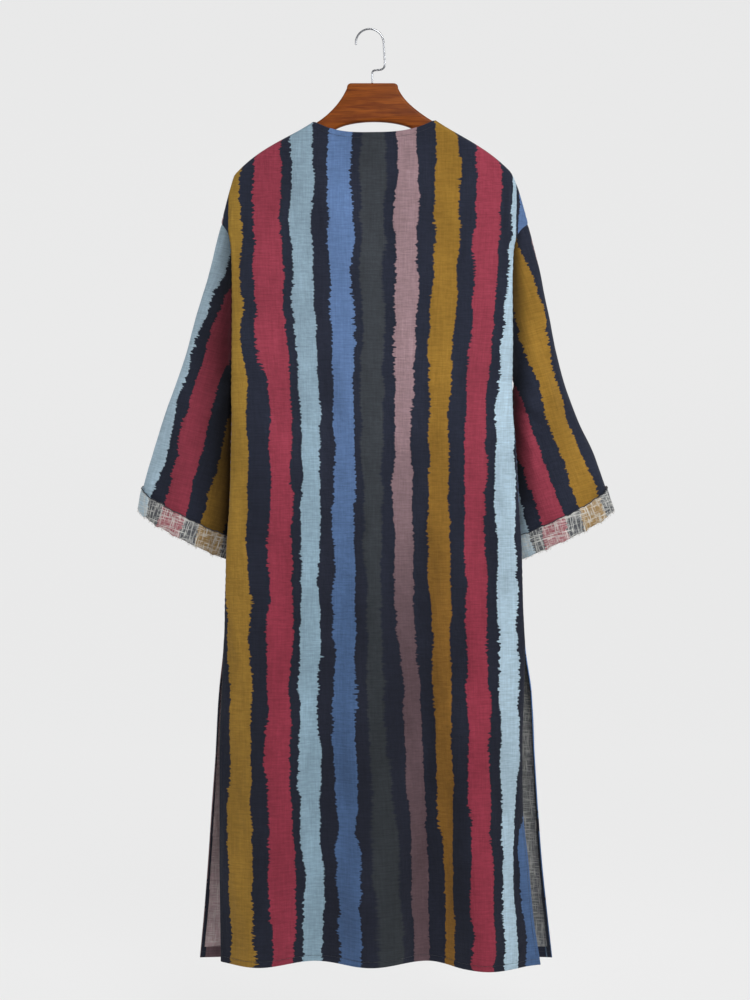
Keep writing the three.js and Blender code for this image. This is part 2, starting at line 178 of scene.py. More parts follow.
sleeveSections = tableOf("at outerLeft outerRight outerDown outerY innerX innerDown innerY back front tilt", [
    [0, 242, 249, 311, 0, 224, 560, 0, 14, 26, 0],
    [1, 251.5, 258, 344, 1, 227, 572, 9, 16, 26, 0],
    [2, 264, 269, 390, 3, 225, 592, 18, 20, 27, 0.05],
    [3, 278, 278, 440, 6, 222, 618, 24, 24, 28, 0.1],
    [4, 296, 291, 500, 10, 220, 652, 27, 28, 30, 0.15],
    [5, 314.5, 308.5, 560, 15, 216, 690, 31, 30, 31, 0.2],
    [6, 335, 330, 620, 20, 212, 730, 34, 32, 32, 0.25],
    [7, 353, 357, 680, 25, 209, 771, 36, 33, 33, 0.3],
    [8, 369, 376, 732, 30, 207, 812, 37, 34, 34, 0.36],
    [9, 372.5, 381, 749, 32, 206, 831, 38, 34, 34, 0.38],
    [10, 376.5, 388, 766, 34, 205, 850, 38, 34, 34, 0.4],
])


def smooth(t):
    t = np.clip(t, 0, 1)
    return t * t * (3 - 2 * t)


def lerp(a, b, t):
    return a + (b - a) * t


def valueAt(table, key, column, place):
    # Read between a table's rows along a curve that never overshoots them.
    x, v = table[key], table[column]
    slope = np.diff(v) / np.diff(x)
    product = slope[:-1] * slope[1:]
    total = np.where(np.abs(slope[:-1] + slope[1:]) < 1e-9, 1, slope[:-1] + slope[1:])
    inner = np.where(product > 0, 2 * product / total, 0)
    tangent = np.concatenate([slope[:1], inner, slope[-1:]])
    at = np.clip(place, x[0], x[-1])
    k = np.clip(np.searchsorted(x, at, side="left") - 1, 0, len(x) - 2)
    width = x[k + 1] - x[k]
    t = (at - x[k]) / width
    rest = 1 - t
    return (v[k] * rest * rest * (1 + 2 * t) + v[k + 1] * t * t * (3 - 2 * t)
            + width * (tangent[k] * t * rest * rest - tangent[k + 1] * t * t * rest))


def ridgeDown(side, x):
    neck, neckDown = shoulderLine[side + "X"][0], shoulderLine[side + "Down"][0]
    over = neckDown - np.minimum(garment["neckSlope"] * (neck - x), garment["neckRise"])
    return np.where(x < neck, over, valueAt(shoulderLine, side + "X", side + "Down", x))


def armholeX(side, share):
    reach = shoulderLine[side + "X"][-1] - garment["underarmHalf"][side]
    below = share * (garment["underarmDown"] - shoulderLine[side + "Down"][-1])
    return garment["underarmHalf"][side] + reach * np.exp(-below / garment["armholeTuckLength"])


def loopDepth(share, power):
    return np.sqrt(np.maximum(0, 1 - np.abs(2 * share - 1) ** power))


def acrossX(neck, edge, column):
    neckShare = garment["neckShare"]
    inside = neck * np.sin(np.minimum(column / neckShare, 1) * math.pi / 2)
    out = np.clip((column - neckShare) / (1 - neckShare), 0, 1)
    return np.where(column <= neckShare, inside, neck + (edge - neck) * np.sin(out * math.pi / 2))


def foldReach(face, x, down):
    run = (down - garment["foldStartDown"]) / (garment["hemDown"]["back"] - garment["foldStartDown"])
    reach = 0
    for fold in folds:
        if fold["face"] != face:
            continue
        middle = lerp(fold["topX"], fold["hemX"], np.clip(run, 0, 1))
        off = np.minimum(np.abs(x - middle) / fold["half"], 1)
        reach = reach + fold["depth"] * np.cos(off * math.pi / 2) ** 2
    return reach * smooth(run)


def panelSide(face, side, column, row, folded=True):
    # Points of one half of a panel's outer face, for columns 0 to 1 and rows as shares and then depths.
    sign = -1 if side == "left" else 1
    out = -1 if face == "back" else 1
    c, r = np.broadcast_arrays(column, row)
    share = np.minimum(r, 1)
    neck = shoulderLine[side + "X"][0]
    topX = acrossX(neck, shoulderLine[side + "X"][-1], c)
    virtualTop = ridgeDown(side, topX)
    middleDown = (shoulderLine["leftDown"][0] + shoulderLine["rightDown"][0]) / 2
    pointDown = lerp(middleDown, shoulderLine[side + "Down"][0], topX / neck)
    if face == "back":
        neckDrop = garment["backNeckDrop"] * (1 - np.minimum(topX / neck, 1) ** garment["neckCurve"])
    else:
        neckDrop = garment["frontNeckDrop"] * (1 - np.minimum(topX / neck, 1))
    topDown = np.where(topX < neck, pointDown + neckDrop, virtualTop)
    under = garment["underarmDown"]
    downUpper = lerp(topDown, under, share)
    edgeX = armholeX(side, share)
    xUpper = acrossX(neck, edgeX, c)
    ahead = (ridgeDown(side, topX + 1) - ridgeDown(side, topX - 1)) / 2
    slope = np.where(topX < neck, garment["neckSlope"], ahead)
    bend = garment["shoulderRound"]
    drop = np.clip((downUpper - virtualTop) / np.hypot(1, slope), 0, bend)
    roundTop = np.sqrt(bend ** 2 - (bend - drop) ** 2)
    hang = (downUpper - virtualTop) / (under - virtualTop)
    swell = (garment["underarmDepth"][face] - bend) * (hang + smooth(hang)) / 2
    edgeDepth = garment["armholeHalfDepth"][face] * loopDepth(share, garment["armholePower"])
    power = lerp(garment["sidePower"][face], garment["shoulderPower"], (1 - share) ** 4)
    flatUpper = np.sqrt(np.maximum(0, 1 - np.minimum(xUpper / edgeX, 1) ** power))
    yUpper = out * lerp(edgeDepth, roundTop + swell, flatUpper)
    half = valueAt(bodySections, "down", face + side.capitalize(), r)
    xLower = acrossX(neck, half, c)
    edgeY = valueAt(bodySections, "down", face + "Edge", r)
    fold = foldReach(face, sign * xLower, r) if folded else 0
    depth = valueAt(bodySections, "down", face, r) + fold
    flatLower = np.sqrt(np.maximum(0, 1 - np.minimum(xLower / half, 1) ** garment["sidePower"][face]))
    yLower = lerp(edgeY, out * depth, flatLower)
    last = garment["lastRow"]
    lean = garment["hemLean"] * smooth((sign * xLower - garment["hemLeanFrom"]) / garment["hemLeanRun"])
    hem = garment["hemDown"][face] + (lean if face == "back" else 0)
    hemShare = smooth((r - garment["slitTopDown"]) / (last - garment["slitTopDown"]))
    downLower = r + (hem - last + garment["hemWave"] * fold / garment["hemWaveDepth"]) * hemShare
    upper = r <= 1
    x = np.where(upper, xUpper, xLower)
    y = np.where(upper, yUpper, yLower)
    down = np.where(upper, downUpper, downLower)
    return np.stack([sign * x, y, -down], axis=-1)


def panelGrid(face, columns, rows, folded=True):
    # Columns run from -1 to 1 across the face as it is seen from outside.
    order = columns if face == "back" else -columns
    grid = np.empty((len(rows), len(columns), 3))
    for side, pick in (("left", order < 0), ("right", order >= 0)):
        grid[:, pick] = panelSide(face, side, np.abs(order[pick])[None, :], rows[:, None], folded)
    return grid


def sleevePart(side, face, share, at):
    sign = -1 if side == "left" else 1
    out = -1 if face == "back" else 1
    s, a = np.broadcast_arrays(share, at)
    value = {name: valueAt(sleeveSections, "at", name, a) for name in sleeveSections if name != "at"}
    even = (1 - np.cos(s * math.pi)) / 2
    grown = smooth(a / garment["armholeFade"])
    w = lerp(s, even, grown)
    power = lerp(garment["armholePower"], garment["sleevePower"], grown)
    x = lerp(value["outer" + side.capitalize()], value["innerX"], w)
    reach = out * value[face] * loopDepth(w, power)
    y = lerp(value["outerY"], value["innerY"], w) + reach
    down = lerp(value["outerDown"], value["innerDown"], w) - value["tilt"] * reach
    straight = lerp(shoulderLine[side + "X"][-1], sleeveSections["innerX"][0], s)
    pull = (armholeX(side, s) - straight) * (1 - grown) ** 2
    loop = np.stack([sign * (x + pull), y, -down], axis=-1)
    seam = panelSide(face, side, np.ones_like(s), s)
    return np.where((a == 0)[..., None], seam, loop)


def sleeveGrid(side, shares, places):
    back = sleevePart(side, "back", shares[None, :], places[:, None])
    front = sleevePart(side, "front", shares[None, ::-1], places[:, None])
    loop = np.concatenate([back, front[:, 1:-1]], axis=1)
    return loop if side == "left" else loop[:, ::-1]


def gridNormals(grid):
    down = np.empty_like(grid)
    down[1:-1] = grid[2:] - grid[:-2]
    down[0], down[-1] = grid[1] - grid[0], grid[-1] - grid[-2]
    across = np.empty_like(grid)
    across[:, 1:-1] = grid[:, 2:] - grid[:, :-2]
    across[:, 0], across[:, -1] = grid[:, 1] - grid[:, 0], grid[:, -1] - grid[:, -2]
    normal = np.cross(down, across)
    return normal / np.maximum(np.linalg.norm(normal, axis=-1, keepdims=True), 1e-9)


# Cloth shells

cloth = {
    "thickness": 0.9,
    "hemThickness": 1.9,
    "hemDepth": 17,
    "slitHemDepth": 7,
    "neckHemDepth": 11,
    "stepWidth": 1.5,
    "columnsToNeck": 30,
    "columnsOutside": 44,
    "armholeRows": 80,
    "skirtRows": 170,
    "sleeveRows": 110,
    "smallRipple": 0.8,
    "seamSink": 1.0,
    "seamSinkWidth": 2.6,
    "puckerHeight": 0.5,
    "puckerLength": 13,
    "puckerReach": 14,
    "puckerSway": 2.5,
    "puckerSwayLength": 31,
    "edgeBulge": 0.45,
}
# Faint waves that no cloth is without: length across and down, and height
rippleWaves = [(61, 410, 0.9), (97, 260, 1.3), (149, 700, 1.6), (38, 190, 0.45), (23, 74, 0.22)]


def ripple(u, v, seed):
    total = 0
    for k, (across, down, height) in enumerate(rippleWaves):
        phase = seed * 1.7 + k * 2.1
        sway = 1.5 * np.sin(2 * math.pi * v / down + seed)
        total = total + height * np.sin(2 * math.pi * u / across + phase + sway)
    return total * cloth["smallRipple"]


creaseEnd = {"run": 0.35, "start": 0.15}  # how a crease fades out, as shares of its length


def creaseHeight(creases, x, down):
    total = np.zeros_like(x)
    for crease in creases:
        runX, runDown = crease["toX"] - crease["x"], crease["toDown"] - crease["down"]
        fromX, fromDown = x - crease["x"], down - crease["down"]
        length = math.hypot(runX, runDown)
        along = (fromX * runX + fromDown * runDown) / length ** 2
        off = (fromX * runDown - fromDown * runX) / length
        off = off + crease["bow"] * np.sin(np.clip(along, 0, 1) * math.pi)
        fade = smooth(along / creaseEnd["run"] + creaseEnd["start"])
        fade = fade * smooth((1 - along) / creaseEnd["run"] + creaseEnd["start"])
        total += crease["height"] * fade * np.exp(-(off / crease["width"]) ** 2)
    return total


def seamShape(distance, along, seed):
    # A seam draws the cloth in along its line and puckers it for a thumb's width beside it.
    sink = -cloth["seamSink"] * np.exp(-(distance / cloth["seamSinkWidth"]) ** 2)
    sway = cloth["puckerSway"] * np.sin(along / cloth["puckerSwayLength"] + seed)
    beat = np.sin(2 * math.pi * along / cloth["puckerLength"] + sway)
    near = (distance / cloth["seamSinkWidth"]) * np.exp(-distance / cloth["puckerReach"] * 2)
    return sink + cloth["puckerHeight"] * beat * near


def meshFrom(name, points, faces, materials, faceMaterials, cornerUv):
    mesh = bpy.data.meshes.new(name)
    mesh.vertices.add(len(points))
    mesh.vertices.foreach_set("co", ((points + [garmentX, 0, 0]) * mm).ravel())
    mesh.loops.add(faces.size)
    mesh.loops.foreach_set("vertex_index", faces.ravel())
    mesh.polygons.add(len(faces))
    mesh.polygons.foreach_set("loop_start", np.arange(len(faces)) * faces.shape[1])
    mesh.polygons.foreach_set("use_smooth", np.ones(len(faces), bool))
    for material in materials:
        mesh.materials.append(material)
    mesh.polygons.foreach_set("material_index", faceMaterials)
    layer = mesh.uv_layers.new(name="cloth")
    layer.data.foreach_set("uv", (cornerUv * mm).ravel())
    mesh.validate()
    mesh.update()
    return linked(name, mesh)


def linked(name, data):
    piece = bpy.data.objects.new(name, data)
    bpy.context.scene.collection.objects.link(piece)
    return piece


def clothShell(name, outer, inner, uv, materials, insideMaterial, turnedUv, marks):
    # Two skins joined by a rounded edge. insideMaterial gives each inner cell's slot, turnedUv the cloth that
    # shows where the edge is turned in, and marks the values that a material reads by name.
    height, width = outer.shape[:2]
    count = height * width
    index = np.arange(count).reshape(height, width)
    a, b, c, d = index[:-1, :-1], index[1:, :-1], index[1:, 1:], index[:-1, 1:]
    quads = np.stack([a, b, c, d], axis=-1).reshape(-1, 4)
    ring = np.concatenate([index[:, 0], index[-1, 1:], index[-2::-1, -1], index[0, -2:0:-1]])
    flatOuter, flatInner, flatUv = outer.reshape(-1, 3), inner.reshape(-1, 3), uv.reshape(-1, 2)
    rim, rimInner = flatOuter[ring], flatInner[ring]
    step = np.roll(rim, -1, axis=0) - np.roll(rim, 1, axis=0)
    away = np.cross(step, rim - rimInner)
    away /= np.maximum(np.linalg.norm(away, axis=1, keepdims=True), 1e-9)
    bulge = cloth["edgeBulge"] * np.linalg.norm(rim - rimInner, axis=1, keepdims=True)
    points = np.concatenate([flatOuter, flatInner, (rim + rimInner) / 2 + away * bulge])
    middle = 2 * count + np.arange(len(ring))
    after, nextMiddle = np.roll(ring, -1), np.roll(middle, -1)
    faces = np.concatenate([
        quads,
        quads[:, ::-1] + count,
        np.stack([after, ring, middle, nextMiddle], axis=-1),
        np.stack([nextMiddle, middle, ring + count, after + count], axis=-1),
    ])
    uvOf = np.concatenate([flatUv, flatUv, flatUv[ring]])
    cornerUv = uvOf[faces]
    insideSlots = insideMaterial.reshape(-1)
    if turnedUv is not None:
        cells = np.flatnonzero(insideSlots == 0)
        cornerUv[len(quads) + cells] = turnedUv.reshape(-1, 2)[quads[cells][:, ::-1]]
    slots = np.concatenate([np.zeros(len(quads), int), insideSlots, np.zeros(2 * len(ring), int)])
    piece = meshFrom(name, points, faces, materials, slots, cornerUv.reshape(-1, 2))
    for mark, values in marks.items():
        flat = values.reshape(-1)
        layer = piece.data.attributes.new(mark, "FLOAT", "POINT")
        layer.data.foreach_set("value", np.concatenate([flat, flat, flat[ring]]))
    return piece


# Materials

def addNode(tree, kind, inputs=None, **settings):
    # One node with its settings. An input is a node, for its first output, a socket to link or a plain value.
    node = tree.nodes.new(kind)
    for name, value in settings.items():
        setattr(node, name, value)
    for key, value in (inputs or {}).items():
        if isinstance(value, bpy.types.Node):
            value = value.outputs[0]
        if isinstance(value, bpy.types.NodeSocket):
            tree.links.new(value, node.inputs[key])
        else:
            node.inputs[key].default_value = value
    return node


def newMaterial(name):
    material = bpy.data.materials.new(name)
    material.use_nodes = True
    material.node_tree.nodes.clear()
    return material, material.node_tree


def finishMaterial(tree, inputs):
    shader = addNode(tree, "ShaderNodeBsdfPrincipled", inputs)
    addNode(tree, "ShaderNodeOutputMaterial", {"Surface": shader})


# How a stripe's edge strays from its straight line: thread by thread, in torn-looking runs, and slowly over
# a hand's length. Sizes and reach are millimetres.
edgeWander = rowsOf("across down reach seed", [
    (60, 2.4, 8.5, 1.3),
    (30, 4.6, 7.5, 4.1),
    (34, 24, 7, 7.7),
    (30, 95, 20, 9.2),
])

# Uneven thread and dye: weft and warp slubs, then cloudy patches; depth is the share of light lost or won
slubs = rowsOf("across down depth seed", [
    (24, 1.9, 0.13, 2.2),
    (1.9, 34, 0.09, 5.6),
    (6, 5, 0.05, 3.1),
    (75, 130, 0.13, 8.4),
])


def clothPlaces(tree):
    # Millimetres across and down the cloth.
    place = addNode(tree, "ShaderNodeUVMap", uv_map="cloth")
    scaled = addNode(tree, "ShaderNodeVectorMath", {0: place, 1: (1000, 1000, 0)}, operation="MULTIPLY")
    parts = addNode(tree, "ShaderNodeSeparateXYZ", {0: scaled})
    return scaled, parts


def stretchedNoise(tree, places, across, down, seed, detail=1.0):
    moved = addNode(tree, "ShaderNodeVectorMath",
                    {0: places, 1: (1 / across, 1 / down, 0), 2: (seed, seed * 2.3, seed * 5.1)},
                    operation="MULTIPLY_ADD")
    return addNode(tree, "ShaderNodeTexNoise", {"Vector": moved, "Scale": 1.0, "Detail": detail,
                                                "Roughness": 0.55})


def stripeColour(tree, places, across, paintedHemShade):
    strayed = across
    for wander in edgeWander:
        noise = stretchedNoise(tree, places, wander["across"], wander["down"], wander["seed"])
        off = addNode(tree, "ShaderNodeMath", {0: noise, 1: 0.5}, operation="SUBTRACT")
        strayed = addNode(tree, "ShaderNodeMath", {0: off, 1: wander["reach"], 2: strayed},
                          operation="MULTIPLY_ADD")
    low, high = stripes[0]["start"] - 2, stripes[-1]["end"] + 2
    # The cloth's repeat carries the table on past its first stripe.
    wrapped = addNode(tree, "ShaderNodeMath", {0: strayed, 1: low + stripeRepeat, 2: low}, operation="WRAP")
    isLow = addNode(tree, "ShaderNodeMath", {0: strayed, 1: low}, operation="LESS_THAN")
    within = addNode(tree, "ShaderNodeMix", {"Factor": isLow, "A": strayed, "B": wrapped})
    share = addNode(tree, "ShaderNodeMapRange", {0: within, 1: low, 2: high, 3: 0.0, 4: 1.0})
    ramps = []
    for colours in (stripeColours, paintedHemShadeColours):
        ramp = addNode(tree, "ShaderNodeValToRGB", {0: share})
        ramp.color_ramp.interpolation = "CONSTANT"
        ramp.color_ramp.elements[0].color = toLinear(colours["navy"])
        ramp.color_ramp.elements.remove(ramp.color_ramp.elements[1])
        for stripe in stripes:
            first = ramp.color_ramp.elements.new((stripe["start"] - low) / (high - low))
            first.color = toLinear(colours[stripe["colour"]])
            after = ramp.color_ramp.elements.new((stripe["end"] - low) / (high - low))
            after.color = toLinear(colours["navy"])
        ramps.append(ramp)
    # Painted shade: the stripe colours turn to their darker hem colours towards the hem
    dyedAndHemShaded = addNode(tree, "ShaderNodeMix", {0: paintedHemShade, 6: ramps[0], 7: ramps[1]}, data_type="RGBA")
    charcoal = addNode(tree, "ShaderNodeMix", {0: paintedHemShade, 6: toLinear(stripeColours["charcoal"]),
                                               7: toLinear(paintedHemShadeColours["charcoal"])}, data_type="RGBA")
    # The charcoal stripe sits at the middle of each repeat and melts into the navy.
    half = stripeRepeat / 2
    offMiddle = addNode(tree, "ShaderNodeMath", {0: strayed, 1: half, 2: -half}, operation="WRAP")
    distance = addNode(tree, "ShaderNodeMath", {0: offMiddle}, operation="ABSOLUTE")
    size = addNode(tree, "ShaderNodeMath", {0: paintedHemShade, 1: charcoalHalf["hemLoss"], 2: distance},
                   operation="MULTIPLY_ADD")
    faint = addNode(tree, "ShaderNodeMapRange", {0: size, 1: charcoalHalf["gone"],
                                                 2: charcoalHalf["full"], 3: 0.0, 4: 1.0},
                    interpolation_type="SMOOTHSTEP")
    mixed = addNode(tree, "ShaderNodeMix", {0: faint, 6: dyedAndHemShaded.outputs[2], 7: charcoal.outputs[2]},
                    data_type="RGBA")
    return mixed.outputs[2]


def slubShade(tree, places):
    total = 1.0
    for slub in slubs:
        noise = stretchedNoise(tree, places, slub["across"], slub["down"], slub["seed"], 2.0)
        shade = addNode(tree, "ShaderNodeMapRange", {0: noise, 1: 0.3, 2: 0.7, 3: 1 - slub["depth"],
                                                     4: 1 + slub["depth"]})
        total = addNode(tree, "ShaderNodeMath", {0: shade, 1: total}, operation="MULTIPLY")
    return total


# Undyed thread that breaks through on the wrong side, as a hatch of weft and warp
hatch = {
    "weft": {"across": 17, "down": 1.4, "seed": 3.4},
    "warp": {"across": 1.4, "down": 20, "seed": 6.8},
    "from": 0.51,
    "to": 0.68,
    "colour": "#dcdcd6",
    "body": {"least": 0.1, "most": 0.36},
    "cuff": {"least": 0.1, "most": 0.8},
}
relief = {
    "weave": {"size": 9, "pitch": 2.2, "height": 0.0006},
    "crumple": {"across": 26, "down": 38, "seed": 4.7, "height": 0.0035},
}


def wovenStripeCloth(name, undyed):
    # Cotton and linen plain weave with dyed stripes on navy: matte, slubby, with a short lint.
    material, tree = newMaterial(name)
    places, across = clothPlaces(tree)
    # Painted shade towards the hem, on the cloth's right side only
    paintedHemShade = addNode(tree, "ShaderNodeAttribute", attribute_name="paintedHemShade") if undyed is None else None
    colour = stripeColour(tree, places, across, paintedHemShade.outputs["Fac"] if paintedHemShade else 0.0)
    if undyed:
        weft, warp = (stretchedNoise(tree, places, **hatch[way]) for way in ("weft", "warp"))
        either = addNode(tree, "ShaderNodeMath", {0: weft, 1: warp}, operation="MAXIMUM")
        pale = addNode(tree, "ShaderNodeMapRange", {0: either, 1: hatch["from"], 2: hatch["to"],
                                                    3: undyed["least"], 4: undyed["most"]})
        colour = addNode(tree, "ShaderNodeMix", {0: pale, 6: colour, 7: toLinear(hatch["colour"])},
                         data_type="RGBA").outputs[2]
    # Painted shade and light from a value the mesh carries: the colour is darkened next to the body on
    # sleeves and cuffs, and lightened where the value is below 0, in the slits.
    paintedShadeAndLight = addNode(tree, "ShaderNodeAttribute", attribute_name="paintedShadeAndLight")
    paintedLightFactor = addNode(tree, "ShaderNodeMath", {0: 1.0, 1: paintedShadeAndLight.outputs["Fac"]}, operation="SUBTRACT")
    shade = addNode(tree, "ShaderNodeMath", {0: slubShade(tree, places), 1: paintedLightFactor}, operation="MULTIPLY")
    shaded = addNode(tree, "ShaderNodeVectorMath", {0: colour, 3: shade}, operation="SCALE")
    # Threads are 0.6 mm apart in the cloth; the weave's relief is drawn at 2.2 mm so that it shows.
    weave, crumple = relief["weave"], relief["crumple"]
    threads = addNode(tree, "ShaderNodeMath", {
        0: stretchedNoise(tree, places, weave["size"], weave["pitch"], 1.1),
        1: stretchedNoise(tree, places, weave["pitch"], weave["size"], 2.9),
    }, operation="ADD")
    swells = stretchedNoise(tree, places, crumple["across"], crumple["down"], crumple["seed"], 2.5)
    crumpled = addNode(tree, "ShaderNodeBump", {"Strength": 1.0, "Distance": crumple["height"],
                                                "Height": swells})
    woven = addNode(tree, "ShaderNodeBump", {"Strength": 0.8, "Distance": weave["height"],
                                             "Height": threads, "Normal": crumpled})
    finishMaterial(tree, {"Base Color": shaded, "Roughness": 0.93, "Specular IOR Level": 0.15,
                          "Sheen Weight": 0.08, "Sheen Roughness": 0.5, "Normal": woven})
    return material


def sewingThread(name, code):
    # Spun thread: fine, twisted, with a faint gloss.
    material, tree = newMaterial(name)
    place = addNode(tree, "ShaderNodeTexCoord")
    noise = addNode(tree, "ShaderNodeTexNoise", {"Vector": place.outputs["Object"], "Scale": 900.0})
    shade = addNode(tree, "ShaderNodeMapRange", {0: noise, 3: 0.7, 4: 1.25})
    colour = addNode(tree, "ShaderNodeVectorMath", {0: toLinear(code)[:3], 3: shade}, operation="SCALE")
    finishMaterial(tree, {"Base Color": colour, "Roughness": 0.6, "Sheen Weight": 0.2})
    return material


wood = {
    "tones": [(0.0, "#552608"), (0.42, "#763810"), (0.58, "#8e4915"), (1.0, "#aa6322")],
    "grain": (12.0, 70.0, 190.0),
    "pores": (40.0, 700.0, 900.0),
}


def varnishedHardwood():
    # Sawn hardwood with a stained, glossy lacquer: brown with fine dark grain along the arms.
    material, tree = newMaterial("varnishedHardwood")
    place = addNode(tree, "ShaderNodeTexCoord")
    grainPlace = addNode(tree, "ShaderNodeVectorMath", {0: place.outputs["Object"], 1: wood["grain"]},
                         operation="MULTIPLY")
    rings = addNode(tree, "ShaderNodeTexNoise", {"Vector": grainPlace, "Scale": 1.0, "Detail": 4.0,
                                                 "Roughness": 0.6, "Distortion": 0.6})
    porePlace = addNode(tree, "ShaderNodeVectorMath", {0: place.outputs["Object"], 1: wood["pores"]},
                        operation="MULTIPLY")
    pores = addNode(tree, "ShaderNodeTexNoise", {"Vector": porePlace, "Scale": 1.0, "Detail": 2.0})
    ramp = addNode(tree, "ShaderNodeValToRGB", {0: rings})
    elements = ramp.color_ramp.elements
    for stop, _ in wood["tones"][1:-1]:
        elements.new(stop)
    for element, (_, code) in zip(elements, wood["tones"]):
        element.color = toLinear(code)
    dark = addNode(tree, "ShaderNodeMapRange", {0: pores, 1: 0.3, 2: 0.6, 3: 0.72, 4: 1.05})
    colour = addNode(tree, "ShaderNodeVectorMath", {0: ramp, 3: dark}, operation="SCALE")
    bump = addNode(tree, "ShaderNodeBump", {"Strength": 0.12, "Distance": 0.0003, "Height": pores})
    finishMaterial(tree, {"Base Color": colour, "Roughness": 0.55, "Specular IOR Level": 0.12,
                          "Coat Weight": 0.07, "Coat Roughness": 0.15, "Normal": bump})
    return material


def platedWire():
    # Bright nickel-plated steel wire, drawn and bent: fine draw marks roughen its shine here and there.
    material, tree = newMaterial("platedWire")
    place = addNode(tree, "ShaderNodeTexCoord")
    noise = addNode(tree, "ShaderNodeTexNoise", {"Vector": place.outputs["Object"], "Scale": 420.0,
                                                 "Detail": 2.0})
    rough = addNode(tree, "ShaderNodeMapRange", {0: noise, 3: 0.16, 4: 0.32})
    finishMaterial(tree, {"Base Color": toLinear("#b9bbbf"), "Metallic": 1.0, "Roughness": rough})
    return material


rightSide = wovenStripeCloth("wovenStripeRightSide", None)
wrongSide = wovenStripeCloth("wovenStripeWrongSide", hatch["body"])
cuffSide = wovenStripeCloth("wovenStripeTurnedBack", hatch["cuff"])
navyThread = sewingThread("navyThread", "#171b26")
undyedThread = sewingThread("undyedThread", "#a59d92")
print("materials made")


# Stitches and loose threads

def plainMesh(source, name, material):
    # What an object makes once evaluated, as a plain mesh of its own; the object goes.
    bpy.context.view_layer.update()
    mesh = bpy.data.meshes.new_from_object(source.evaluated_get(bpy.context.evaluated_depsgraph_get()))
    mesh.name = name
    bpy.data.objects.remove(source)
    mesh.materials.clear()
    mesh.materials.append(material)
    mesh.polygons.foreach_set("use_smooth", np.ones(len(mesh.polygons), bool))
    print(name, len(mesh.polygons), "faces")
    return linked(name, mesh)


def pointMesh(name, points, along, facing):
    # Bare points that carry which way a thread runs and which way is out of the cloth.
    mesh = bpy.data.meshes.new(name)
    mesh.vertices.add(len(points))
    mesh.vertices.foreach_set("co", ((points + [garmentX, 0, 0]) * mm).ravel())
    for attribute, values in (("along", along), ("facing", facing)):
        made = mesh.attributes.new(attribute, "FLOAT_VECTOR", "POINT")
        made.data.foreach_set("vector", np.ascontiguousarray(values).ravel())
    return linked(name, mesh)


threadInputs = {"Length": mm, "Lift": mm, "Radius": mm, "Spread": 1}  # each input with its unit


def threadTree(name, material, sizes):
    # Lays one short bent thread on each point.
    tree = bpy.data.node_groups.new(name, "GeometryNodeTree")
    tree.interface.new_socket("Geometry", in_out="INPUT", socket_type="NodeSocketGeometry")
    for label in threadInputs:
        tree.interface.new_socket(label, in_out="INPUT", socket_type="NodeSocketFloat")
    tree.interface.new_socket("Geometry", in_out="OUTPUT", socket_type="NodeSocketGeometry")
    given = addNode(tree, "NodeGroupInput")
    half = addNode(tree, "ShaderNodeMath", {0: given.outputs["Length"], 1: 0.5}, operation="MULTIPLY")
    back = addNode(tree, "ShaderNodeMath", {0: half, 1: -1.0}, operation="MULTIPLY")
    start = addNode(tree, "ShaderNodeCombineXYZ", {0: back})
    end = addNode(tree, "ShaderNodeCombineXYZ", {0: half})
    top = addNode(tree, "ShaderNodeCombineXYZ", {2: given.outputs["Lift"]})
    arc = addNode(tree, "GeometryNodeCurveQuadraticBezier", {"Resolution": sizes["steps"], "Start": start,
                                                            "Middle": top, "End": end})
    profile = addNode(tree, "GeometryNodeCurvePrimitiveCircle", {"Resolution": 5,
                                                                 "Radius": given.outputs["Radius"]})
    thread = addNode(tree, "GeometryNodeCurveToMesh", {"Curve": arc, "Profile Curve": profile,
                                                      "Fill Caps": True})
    along = addNode(tree, "GeometryNodeInputNamedAttribute", {"Name": "along"}, data_type="FLOAT_VECTOR")
    facing = addNode(tree, "GeometryNodeInputNamedAttribute", {"Name": "facing"}, data_type="FLOAT_VECTOR")
    turned = addNode(tree, "FunctionNodeAxesToRotation", {0: facing, 1: along},
                     primary_axis="Z", secondary_axis="X")
    low = addNode(tree, "ShaderNodeMath", {0: 1.0, 1: given.outputs["Spread"]}, operation="SUBTRACT")
    high = addNode(tree, "ShaderNodeMath", {0: 1.0, 1: given.outputs["Spread"]}, operation="ADD")
    size = addNode(tree, "FunctionNodeRandomValue", {"Min": low, "Max": high, "Seed": sizes["seed"]},
                   data_type="FLOAT")
    scale = addNode(tree, "ShaderNodeCombineXYZ", {0: size.outputs[1], 1: 1.0, 2: size.outputs[1]})
    placed = addNode(tree, "GeometryNodeInstanceOnPoints", {"Points": given, "Instance": thread,
                                                           "Rotation": turned, "Scale": scale})
    real = addNode(tree, "GeometryNodeRealizeInstances", {0: placed})
    painted = addNode(tree, "GeometryNodeSetMaterial", {"Geometry": real, "Material": material})
    addNode(tree, "NodeGroupOutput", {"Geometry": painted})
    return tree


def layThreads(name, points, along, facing, material, sizes):
    source = pointMesh(name + "Points", points, along, facing)
    tree = threadTree(name + "Tree", material, sizes)
    modifier = source.modifiers.new("threads", "NODES")
    modifier.node_group = tree
    sockets = {item.name: item.identifier for item in tree.interface.items_tree
               if item.item_type == "SOCKET" and item.in_out == "INPUT"}
    for label, unit in threadInputs.items():
        modifier[sockets[label]] = sizes[label.lower()] * unit
    return plainMesh(source, name, material)


